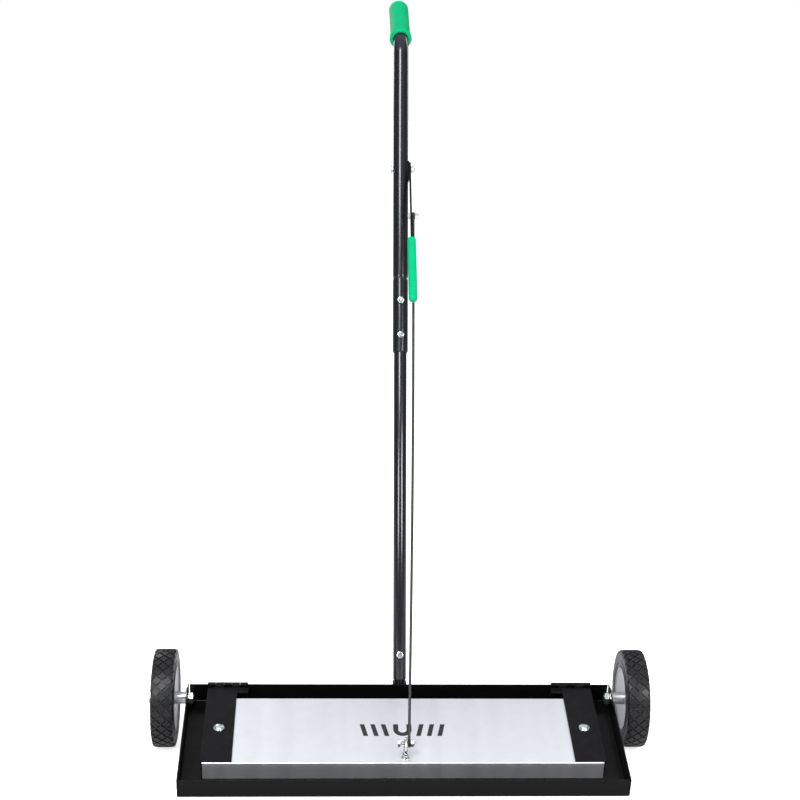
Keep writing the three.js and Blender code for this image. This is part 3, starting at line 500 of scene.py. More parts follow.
@dataclass(frozen=True)
class BareMetal(Finish):
    """Plated or rolled metal with fine drawn lines.

    Attributes:
        tint: Colour that the slow tone drifts to.
        fineness: Scale of the drawn lines.
        stretch: How far the lines are drawn out.
        metal: Share of bare metal in the surface.
    """

    tint: Colour = (0.6, 0.6, 0.6)
    fineness: float = 900.0
    stretch: float = 0.02
    metal: float = 1.0

    def build(self) -> bpy.types.Material:
        """Makes the material."""
        material, net, shader = self.start()
        lines = net.use(EFFECTS.streaks, Fineness=self.fineness, Stretch=self.stretch)
        grit = net.use(EFFECTS.grit, Scale=self.fineness)
        wear = net.use(EFFECTS.wear, Amount=0.35).outputs["Mask"]
        tone = net.mix(grit.outputs["Tone"], self.tint, self.colour)
        bright = tuple(min(1.0, 1.25 * value) for value in self.colour)
        net.tree.links.new(net.mix(wear, tone, bright), shader.inputs["Base Color"])
        shader.inputs["Metallic"].default_value = self.metal
        self.rough(net, shader, lines.outputs["Tone"])
        self.bump(net, shader, lines.outputs["Height"], 0.0002)
        return material


@dataclass(frozen=True)
class Moulded(Finish):
    """Moulded rubber, vinyl or sintered block.

    Attributes:
        specular: Specular level.
        grain: Scale of the moulded grain.
        drift: Colour that the slow tone drifts to.
        dusty: Strength of the dust on faces that look up.
        rubbed: Strength of the paler edges: rubbed wear, and on the tyre a painted highlight for the glints on its
            block edges.
        soft: Subsurface weight of a soft, slightly clear plastic.
        edge: How much paler the rubbed edges are; on the tyre this lift is a painted highlight for the glints on
            its block edges.
    """

    specular: float = 0.4
    grain: float = 1500.0
    drift: Colour = (0.03, 0.03, 0.03)
    dusty: float = 0.1
    rubbed: float = 0.2
    soft: float = 0.0
    edge: float = 0.02

    def build(self) -> bpy.types.Material:
        """Makes the material."""
        material, net, shader = self.start()
        grit = net.use(EFFECTS.grit, Scale=self.grain)
        # Paler edges: rubbed wear, and on the tyre a painted highlight that stands in for glints on its block
        # edges.
        wear = net.use(EFFECTS.wear, Amount=self.rubbed, Radius=0.0012).outputs["Mask"]
        dust = net.use(EFFECTS.dust, Amount=self.dusty).outputs["Mask"]
        tone = net.mix(grit.outputs["Tone"], self.drift, self.colour)
        pale = tuple(min(1.0, 1.6 * value + self.edge) for value in self.colour)
        final = net.mix(dust, net.mix(wear, tone, pale), (0.36, 0.34, 0.31))
        net.tree.links.new(final, shader.inputs["Base Color"])
        shader.inputs["Specular IOR Level"].default_value = self.specular
        shader.inputs["Subsurface Weight"].default_value = self.soft
        shader.inputs["Subsurface Scale"].default_value = 0.002
        self.rough(net, shader, grit.outputs["Tone"], dust)
        self.bump(net, shader, grit.outputs["Height"], 0.0003)
        return material


class Finishes:
    """The sweeper's finishes, each made once."""

    def __init__(self) -> None:
        """Makes every material."""
        self.powder = Coating("black_powder", (0.0030, 0.0030, 0.0033), 0.22, specular=0.1,
                              relief=0.05, worn=0.4, dusty=0.01).build()
        self.bracket = Coating("bracket_powder", (0.0055, 0.0048, 0.0057), 0.32, specular=0.08,
                               relief=0.1, worn=0.4, dusty=0.01).build()
        self.enamel = Coating("tube_enamel", (0.0075, 0.0080, 0.0115), 0.2, 0.03, 0.01,
                              specular=0.5, peel=400.0, worn=0.2, dusty=0.0, coat=0.15).build()
        self.rod_paint = Coating("rod_paint", (0.016, 0.016, 0.019), 0.3, specular=0.3,
                                 worn=0.4, dusty=0.0).build()
        self.hub_paint = Coating("hub_paint", (0.35, 0.355, 0.38), 0.34, 0.12, 0.15, specular=0.5,
                                 peel=260.0, worn=0.15, metal=0.45,
                                 under=(0.7, 0.7, 0.7)).build()
        self.bush = BareMetal("hub_tube_plating", (0.72, 0.74, 0.76), 0.36, 0.1, 0.12,
                              tint=(0.58, 0.60, 0.62), fineness=900.0).build()
        self.cover = BareMetal("cover_sheet", (0.83, 0.845, 0.88), 0.42, 0.08, 0.05,
                               tint=(0.80, 0.81, 0.84), fineness=1100.0, metal=0.88).build()
        self.zinc = BareMetal("bright_zinc", (0.72, 0.75, 0.74), 0.27, 0.14, 0.12,
                              tint=(0.55, 0.60, 0.585), fineness=1500.0, stretch=0.6,
                              metal=0.95).build()
        self.steel = BareMetal("mill_steel", (0.34, 0.34, 0.35), 0.45, 0.15, 0.2,
                               tint=(0.24, 0.24, 0.25), fineness=700.0, stretch=0.1).build()
        self.ferrite = Moulded("ferrite", (0.030, 0.030, 0.032), 0.75, 0.1, 0.35,
                               grain=900.0, rubbed=0.4).build()
        # The tyre's strongly paler block edges are a painted highlight standing in for glints on the blocks, over
        # some rubbed wear.
        self.rubber = Moulded("tyre_rubber", (0.0070, 0.0069, 0.0078), 0.36, 0.12, 0.25,
                              specular=0.3, drift=(0.005, 0.005, 0.0055), dusty=0.015,
                              rubbed=1.0, edge=0.12).build()
        self.vinyl = Moulded("green_vinyl", (0.0, 0.39, 0.16), 0.5, 0.06, 0.06, specular=0.05,
                             drift=(0.0, 0.35, 0.138), grain=700.0, dusty=0.0,
                             rubbed=0.1, soft=0.0).build()
        self.ink = Moulded("black_ink", (0.012, 0.012, 0.013), 0.5, 0.05, 0.1,
                           drift=(0.009, 0.009, 0.01), dusty=0.03, rubbed=0.1).build()
        self.floor = self._floor()

    @staticmethod
    def _floor() -> bpy.types.Material:
        """Makes the plain pale floor."""
        material = bpy.data.materials.new("studio_floor")
        material.use_nodes = True
        shader = material.node_tree.nodes["Principled BSDF"]
        shader.inputs["Base Color"].default_value = (0.88, 0.88, 0.88, 1.0)
        shader.inputs["Roughness"].default_value = 0.9
        shader.inputs["Specular IOR Level"].default_value = 0.1
        shader.inputs["Emission Color"].default_value = (1.0, 1.0, 1.0, 1.0)
        net = Net(material.node_tree)
        seen = net.add("LightPath").outputs["Is Camera Ray"]
        net.tree.links.new(net.math("MULTIPLY", seen, 0.72), shader.inputs["Emission Strength"])
        return material


# ------------------------------------------------------------------ mesh helpers


class Form:
    """A mesh in the making, in the coordinates of one place."""

    def __init__(self) -> None:
        """Starts empty."""
        self.mesh = bmesh.new()

    def ring(self, points: Iterable[Vector]) -> list[bmesh.types.BMVert]:
        """Adds a row of vertices."""
        return [self.mesh.verts.new(point) for point in points]

    def skin(self, rows: Sequence[Sequence[bmesh.types.BMVert]], closed: bool = True,
             joined: bool = False) -> None:
        """Lays faces between rows of vertices.

        Args:
            rows: Rows of equal length.
            closed: Whether each row closes on itself.
            joined: Whether the last row meets the first.
        """
        pairs = list(zip(rows, rows[1:]))
        if joined:
            pairs.append((rows[-1], rows[0]))
        for first, second in pairs:
            count = len(first) if closed else len(first) - 1
            for i in range(count):
                j = (i + 1) % len(first)
                self.mesh.faces.new((first[i], first[j], second[j], second[i]))

    def lathe(self, profile: Profile, sides: int, phase: float = 0.0) -> None:
        """Turns a profile of (radius, height) about Z; a zero radius closes it.

        Args:
            profile: Corners of the section, which is closed if it starts and ends off the axis.
            sides: Number of sides.
            phase: Turn of the first side.
        """
        steps = [phase + 2 * math.pi * i / sides for i in range(sides)]
        rows = []
        for radius, height in profile:
            if radius > 1e-9:
                row = self.ring(Vector((radius * math.cos(a), radius * math.sin(a), height))
                                for a in steps)
            else:
                row = [self.mesh.verts.new((0, 0, height))]
            rows.append(row)
        whole = len(rows[0]) > 1 and len(rows[-1]) > 1
        pairs = list(zip(rows, rows[1:])) + ([(rows[-1], rows[0])] if whole else [])
        for first, second in pairs:
            for i in range(sides):
                j = (i + 1) % sides
                corners = {0: first[i % len(first)], 1: first[j % len(first)],
                           2: second[j % len(second)], 3: second[i % len(second)]}
                unique = list(dict.fromkeys(corners.values()))
                if len(unique) > 2:
                    self.mesh.faces.new(unique)

    def sweep(self, spine: Sequence[Vector], section: Callable[[int], list[tuple[float, float]]],
              side: Vector, bore: float = 0.0) -> None:
        """Draws a closed section along a spine and closes both ends.

        Args:
            spine: Points of the spine.
            section: For a step, its outline as offsets along side and along the other way.
            side: Direction of the first offset, square to the spine all along.
            bore: Share of the outline left open as a hollow, or 0 for a solid.
        """
        outer, inner = [], []
        for i, point in enumerate(spine):
            ahead = spine[min(i + 1, len(spine) - 1)] - spine[max(i - 1, 0)]
            other = ahead.normalized().cross(side).normalized()
            offsets = section(i)
            outer.append(self.ring(point + side * a + other * b for a, b in offsets))
            if bore:
                inner.append(self.ring(point + (side * a + other * b) * bore for a, b in offsets))
        self.skin(outer)
        if bore:
            self.skin([row[::-1] for row in inner])
            for rim, hole in ((outer[0], inner[0]), (outer[-1], inner[-1])):
                self.skin([rim, hole])
        else:
            self.mesh.faces.new(outer[0])
            self.mesh.faces.new(outer[-1])

    def plate(self, outline: Sequence[tuple[float, float]], low: float, high: float) -> None:
        """Adds an upright prism of an outline in XY."""
        rows = [self.ring(Vector((x, y, z)) for x, y in outline) for z in (low, high)]
        self.skin(rows)
        self.mesh.faces.new(rows[0])
        self.mesh.faces.new(rows[1])

    def finish(self, name: str, place: Optional[Matrix] = None) -> bpy.types.Object:
        """Closes the form into an object in the row frame.

        Args:
            name: Name of the object.
            place: Matrix from the form's coordinates to the row frame.

        Returns:
            The object, linked to the scene.
        """
        if place is not None:
            bmesh.ops.transform(self.mesh, matrix=place, verts=self.mesh.verts)
        bmesh.ops.recalc_face_normals(self.mesh, faces=self.mesh.faces)
        data = bpy.data.meshes.new(name)
        self.mesh.to_mesh(data)
        self.mesh.free()
        made = bpy.data.objects.new(name, data)
        bpy.context.scene.collection.objects.link(made)
        return made


def round_shading_group() -> bpy.types.NodeTree:
    """Node group for a modifier: joins split vertices and smooths all but the sharp edges."""
    group = bpy.data.node_groups.new("round_shading", "GeometryNodeTree")
    group.interface.new_socket("Geometry", in_out="INPUT", socket_type="NodeSocketGeometry")
    group.interface.new_socket("Geometry", in_out="OUTPUT", socket_type="NodeSocketGeometry")
    nodes, links = group.nodes, group.links
    given, made = nodes.new("NodeGroupInput"), nodes.new("NodeGroupOutput")
    merge = nodes.new("GeometryNodeMergeByDistance")
    merge.inputs["Distance"].default_value = 0.00001
    clear = nodes.new("GeometryNodeSetMeshNormal")
    clear.mode = "SHARPNESS"
    clear.inputs["Remove Custom"].default_value = True
    angle = nodes.new("GeometryNodeInputMeshEdgeAngle")
    sharp = nodes.new("FunctionNodeCompare")
    sharp.operation = "GREATER_THAN"
    sharp.inputs[1].default_value = math.radians(33)
    links.new(given.outputs[0], merge.inputs["Geometry"])
    links.new(merge.outputs[0], clear.inputs[0])
    links.new(angle.outputs[0], sharp.inputs[0])
    links.new(sharp.outputs[0], clear.inputs["Edge Sharpness"])
    links.new(clear.outputs[0], made.inputs[0])
    return group


ROUND_SHADING = round_shading_group()


def soften(target: bpy.types.Object, width: float, segments: int = 2,
           limit: float = 33.0) -> bpy.types.Object:
    """Gives an object small rounded edges and clean shading, by modifiers only.

    Args:
        target: The object.
        width: Width of the rounding, in metres; 0 leaves the edges sharp.
        segments: Steps in the rounding.
        limit: Edges that turn more than this many degrees are rounded.

    Returns:
        The object.
    """
    shade = target.modifiers.new("shade", "NODES")
    shade.node_group = ROUND_SHADING
    if width:
        flat = target.modifiers.new("flat", "DECIMATE")
        flat.decimate_type = "DISSOLVE"
        flat.angle_limit = math.radians(0.4)
        edge = target.modifiers.new("edge", "BEVEL")
        edge.width = width
        edge.segments = segments
        edge.limit_method = "ANGLE"
        edge.angle_limit = math.radians(limit)
        edge.harden_normals = True
    return target


def dress(target: bpy.types.Object, material: bpy.types.Material) -> bpy.types.Object:
    """Gives an object one material."""
    target.data.materials.clear()
    target.data.materials.append(material)
    return target


def dress_node(node: str, material: bpy.types.Material, width: float = 0.0004) -> None:
    """Keeps a frame node's shape and gives it a finish and softened edges."""
    target = frame["nodes"][node]
    for slot in target.material_slots:
        slot.material = material
    if not target.material_slots:
        target.data.materials.append(material)
    soften(target, width)
    LOG.info("node %s: %s", node, material.name)


def place_piece(target: bpy.types.Object, body: Body, slot: str, material: bpy.types.Material,
                *stands_for: str) -> bpy.types.Object:
    """Dresses a new piece and lets it ride on its body.

    Args:
        target: The piece.
        body: The body that it rides on.
        slot: The record's material slot; not used.
        material: Its finish.
        stands_for: Frame nodes that it replaces.

    Returns:
        The piece.
    """
    dress(target, material)
    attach(target, body.value)
    if stands_for:
        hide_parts(*stands_for)
    LOG.info("piece %s on %s: %s", target.name, body.value, material.name)
    return target


def arc(centre: tuple[float, float], radius: float, start: float, end: float,
        steps: int) -> list[tuple[float, float]]:
    """Points of an arc in a plane, from one angle in degrees to another."""
    points = []
    for i in range(steps + 1):
        angle = math.radians(start + (end - start) * i / steps)
        points.append((centre[0] + radius * math.cos(angle), centre[1] + radius * math.sin(angle)))
    return points


# ------------------------------------------------------------------ fasteners


@dataclass
class Fastener:
    """Hex bolts and nuts with chamfered corners, recessed heads and rolled threads.

    Attributes:
        chamfer: Slope of the chamfer, in degrees.
        recess: Depth of the dish in a bolt's head.
        sink: Depth of the countersink in a nut.
        pitch: Pitch of the thread.
        thread: Depth of the thread.
        sides: Sides of the round outline, a multiple of six.
        material: Finish of every fastener.
    """

    material: bpy.types.Material
    chamfer: float = 30.0
    recess: float = 0.7 * MM
    sink: float = 0.8 * MM
    pitch: float = 1.27 * MM
    thread: float = 0.35 * MM
    sides: int = 48

    def hex_row(self, form: Form, corner: float, height: float, drop: float,
                limit: float) -> list[bmesh.types.BMVert]:
        """Adds a six-sided row whose corners fall away on the chamfer cone."""
        row = []
        for i in range(self.sides):
            angle = 2 * math.pi * i / self.sides
            within = (angle % (math.pi / 3)) - math.pi / 6
            reach = corner * math.cos(math.pi / 6) / math.cos(within)
            fall = max(0.0, reach - limit) * math.tan(math.radians(self.chamfer))
            row.append(Vector((reach * math.cos(angle), reach * math.sin(angle),
                               height - math.copysign(fall, drop))))
        return form.ring(row)

    def circle(self, form: Form, radius: float, height: float) -> list[bmesh.types.BMVert]:
        """Adds a round row."""
        steps = [2 * math.pi * i / self.sides for i in range(self.sides)]
        return form.ring(Vector((radius * math.cos(a), radius * math.sin(a), height))
                         for a in steps)

    def bolt(self, node: str, body: Body, head_towards: Vector) -> None:
        """Replaces a bolt node.

        Args:
            node: The frame's bolt.
            body: The body that it rides on.
            head_towards: Direction from the shank to the head.
        """
        size = measure_round(node, head_towards)
        points = size.place.coordinates(node)
        reach = np.hypot(points[:, 0], points[:, 1])
        head = points[reach > 0.98 * size.radius]
        low, high = float(head[:, 2].min()), float(head[:, 2].max())
        end = float(points[:, 2].min())
        shank = float(reach[points[:, 2] < end + 0.0005].max())
        flat = size.radius * math.cos(math.pi / 6)
        form = Form()
        rows = [self.circle(form, shank, low), self.circle(form, 0.9 * flat, low),
                self.hex_row(form, size.radius, low, -1, flat),
                self.hex_row(form, size.radius, high, 1, 0.97 * flat),
                self.circle(form, 0.93 * flat, high), self.circle(form, 0.66 * flat, high),
                self.circle(form, 0.52 * flat, high - self.recess),
                self.circle(form, 0.1 * flat, high - self.recess)]
        form.skin(rows)
        form.mesh.faces.new(rows[-1])
        form.mesh.faces.new(rows[0])
        self.threaded(form, shank, end, low + 0.2 * MM)
        made = soften(form.finish(node + "_detailed", size.place.matrix), 0.0)
        place_piece(made, body, "zinc", self.material, node)

    def dome(self, node: str, body: Body, up: Vector) -> None:
        """Replaces a dome-headed bolt node with a smooth head on a thin flange."""
        size = measure_round(node, up)
        points = size.place.coordinates(node)
        reach = np.hypot(points[:, 0], points[:, 1])
        low = float(points[reach > 0.98 * size.radius][:, 2].min())
        high, end = float(points[:, 2].max()), float(points[:, 2].min())
        shank = float(reach[points[:, 2] < end + 0.0005].max())
        head, rise = 0.86 * size.radius, high - low - 0.8 * MM
        form = Form()
        profile = [(0.0, low), (size.radius - 0.2 * MM, low), (size.radius, low + 0.2 * MM),
                   (size.radius, low + 0.6 * MM), (size.radius - 0.2 * MM, low + 0.8 * MM),
                   (head, low + 0.8 * MM)]
        profile += [(head * math.cos(a), high - rise * (1 - math.sin(a)))
                    for a in (math.radians(10 * i) for i in range(1, 9))]
        profile.append((0.0, high))
        form.lathe(profile, self.sides)
        self.threaded(form, shank, end, low + 0.1 * MM)
        made = soften(form.finish(node + "_detailed", size.place.matrix), 0.0)
        place_piece(made, body, "zinc", self.material, node)

    def threaded(self, form: Form, shank: float, end: float, top: float) -> None:
        """Adds a shank with a chamfered end and a rolled thread on its last part."""
        profile = [(0.0, end), (shank - 1.5 * self.thread, end),
                   (shank - self.thread, end + 0.3 * MM)]
        height = end + 0.3 * MM
        turns = min(14, int(0.75 * (top - end) / self.pitch))
        for _ in range(turns):
            profile.append((shank, height + 0.35 * self.pitch))
            profile.append((shank, height + 0.5 * self.pitch))
            profile.append((shank - self.thread, height + 0.85 * self.pitch))
            height += self.pitch
        profile += [(shank, height + 0.4 * MM), (shank, top), (0.0, top)]
        form.lathe(profile, 24)

    def nut(self, node: str, body: Body, outward: Vector) -> None:
        """Replaces a nut node."""
        size = measure_round(node, outward)
        points = size.place.coordinates(node)
        bore = float(np.hypot(points[:, 0], points[:, 1]).min())
        flat = size.radius * math.cos(math.pi / 6)
        low, high = size.low, size.high
        form = Form()
        rows = [self.circle(form, bore, low + self.sink),
                self.circle(form, bore + self.sink, low),
                self.circle(form, 0.93 * flat, low),
                self.hex_row(form, size.radius, low, -1, 0.97 * flat),
                self.hex_row(form, size.radius, high, 1, 0.97 * flat),
                self.circle(form, 0.93 * flat, high),
                self.circle(form, bore + self.sink, high),
                self.circle(form, bore, high - self.sink)]
        form.skin(rows, joined=True)
        made = soften(form.finish(node + "_detailed", size.place.matrix), 0.0)
        place_piece(made, body, "zinc", self.material, node)


# ------------------------------------------------------------------ sub-assemblies


@dataclass
class Wheel:
    """A wheel: lugged tyre, pressed steel discs and hub tube.

    Attributes:
        side: End of the sweeper.
        looks: The finishes.
        tread: Depth of the tread grooves.
        groove: Width of the grooves.
        lattice: Number of tread blocks round the tyre.
        rib: Height of the ribs on the sidewalls.
    """

    side: Side
    looks: Finishes
    tread: float = 2.8 * MM
    groove: float = 2.6 * MM
    lattice: int = 28
    rib: float = 0.7 * MM

    def build(self) -> None:
        """Makes the wheel's pieces."""
        name = self.side.label
        self.body = Body["WHEEL_" + self.side.name]
        outward = Vector((self.side.value, 0, 0))
        self.size = measure_round(f"tyre_{name}", outward)
        points = self.size.place.coordinates(f"tyre_{name}")
        self.bore = float(np.hypot(points[:, 0], points[:, 1]).min())
        self.half = self.size.length / 2
        self.tyre(name)
        for node in (f"wheel_disc_outer_{name}", f"wheel_disc_inner_{name}"):
            dress_node(node, self.looks.hub_paint, 0.0005)
        dress_node(f"wheel_bush_{name}", self.looks.bush, 0.0006)

    def tyre(self, name: str) -> None:
        """Makes the carcass with its sidewall ribs and lays the tread blocks on it."""
        form = Form()
        radius, half, bead = self.size.radius, self.half, self.bore
        floor = radius - self.tread
        shoulder = 5.0 * MM
        wall = [(bead, half - 1.2 * MM), (bead + 1.2 * MM, half - 0.1 * MM),
                (bead + 3.2 * MM, half - 0.1 * MM),
                (bead + 4.0 * MM, half - self.rib - 0.6 * MM), (bead + 9.0 * MM, half - self.rib - 0.9 * MM),
                (bead + 9.8 * MM, half - 0.5 * MM), (bead + 11.6 * MM, half - 0.5 * MM),
                (bead + 12.4 * MM, half - self.rib - 0.9 * MM), (floor - shoulder - 4 * MM, half - 1.3 * MM)]
        crown = arc((floor - shoulder, half - shoulder - 0.6 * MM), shoulder, 84, 4, 5)
        right = wall + crown
        left = [(r, -z) for r, z in reversed(right)]
        form.lathe(right + left, 96)
        blocks = Form()
        self.blocks(blocks)
        carcass = soften(form.finish(f"tyre_carcass_{name}", self.size.place.matrix), 0.0)
        place_piece(carcass, self.body, "tyre_rubber", self.looks.rubber, f"tyre_{name}")
        tread = soften(blocks.finish(f"tyre_tread_{name}", self.size.place.matrix), 0.0007, 2)
        place_piece(tread, self.body, "tyre_rubber", self.looks.rubber)

    def blocks(self, form: Form) -> None:
        """Adds the staggered diamond blocks and the lugs on both shoulders."""
        pitch = 2 * math.pi / self.lattice
        across = self.size.radius * pitch
        reach = across / 2 - self.groove / math.sqrt(2)
        edge = self.half - 2.0 * MM
        for turn in range(2 * self.lattice):
            angle = turn * pitch / 2
            for column in range(-3, 4):
                if (turn + column) % 2:
                    continue
                outline = self.clipped(column * across / 2, reach, edge)
                if outline:
                    self.block(form, angle, outline)

    @staticmethod
    def clipped(middle_z: float, reach: float, edge: float) -> list[tuple[float, float]]:
        """Diamond outline as (around, across), cut off straight at the tread's edges."""
        corners = [(0.0, middle_z - reach), (reach, middle_z), (0.0, middle_z + reach),
                   (-reach, middle_z)]
        outline: list[tuple[float, float]] = []
        for (a, z), (b, w) in zip(corners, corners[1:] + corners[:1]):
            for limit in ((edge, -edge) if z > w else (-edge, edge)):
                if (z - limit) * (w - limit) < 0:
                    share = (limit - z) / (w - z)
                    outline.append((a + share * (b - a), limit))
            if abs(w) <= edge:
                outline.append((b, w))
        return outline if len(outline) > 2 else []

    def block(self, form: Form, angle: float, outline: Sequence[tuple[float, float]]) -> None:
        """Adds one tread block, wrapped on the tyre's round."""
        rows = []
        foot = self.tread + 0.6 * MM
        for depth, spread, shoulder in ((foot, 1.06, 7.5 * MM), (0.0, 1.0, 1.2 * MM)):
            row = []
            for around, across in outline:
                edge = abs(across) > self.half - 3 * MM
                radius = self.size.radius - (shoulder if edge else depth)
                if edge and depth:
                    across = math.copysign(self.half - 0.3 * MM, across)
                turn = angle + spread * around / self.size.radius
                row.append(Vector((radius * math.cos(turn), radius * math.sin(turn), across)))
            rows.append(form.ring(row))
        form.skin(rows)
        form.mesh.faces.new(rows[0])
        form.mesh.faces.new(rows[1])


@dataclass
class Tray:
    """The folded tray with its axle hardware and the welds of the handle's socket.

    Attributes:
        looks: The finishes.
        fasteners: Maker of bolts and nuts.
        bead: Radius of a weld bead.
    """

    looks: Finishes
    fasteners: Fastener
    bead: float = 1.6 * MM

    def build(self) -> None:
        """Makes the tray's pieces."""
        dress_node("tray", self.looks.powder, 0.0005)
        for side in Side:
            outward = Vector((side.value, 0, 0))
            self.fasteners.bolt(f"axle_bolt_{side.label}", Body.FRAME, outward)
            self.fasteners.nut(f"axle_nut_{side.label}", Body.FRAME, -outward)
            dress_node(f"axle_washer_{side.label}", self.looks.steel, 0.0004)
        dress_node("handle_socket", self.looks.powder, 0.0005)
        self.welds()

    def welds(self) -> None:
        """Lays rippled weld beads along the upper and lower edges of the socket's pad."""
        place = tray_place()
        tray_low, tray_high = place.box("tray")
        low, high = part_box("handle_socket")
        reach = (high.x - low.x) / 2 - 4 * MM
        face = tray_high.y + 0.4 * MM
        pad_top = tray_high.z - 4 * MM
        pad_low = tray_low.z + 4 * MM
        form = Form()
        ripple = random.Random(7)
        for height, sign in ((pad_top, 1), (pad_low, -1)):
            for start, end in ((-reach, -0.35 * reach), (0.35 * reach, reach)):
                count = 26
                spine = [Vector((start + (end - start) * i / count, face, height + sign * 0.4 * MM))
                         for i in range(count + 1)]
                sizes = [self.bead * (1 + 0.16 * math.sin(i * 2.1) + 0.1 * ripple.random())
                         for i in range(count + 1)]
                sizes[0] = sizes[-1] = 0.5 * self.bead
                form.sweep(spine, lambda i: arc((0, 0), sizes[i], 0, 324, 9), Vector((0, 1, 0)))
        made = soften(form.finish("socket_weld_beads", place.matrix), 0.0)
        place_piece(made, Body.FRAME, "black_coat", self.looks.powder)


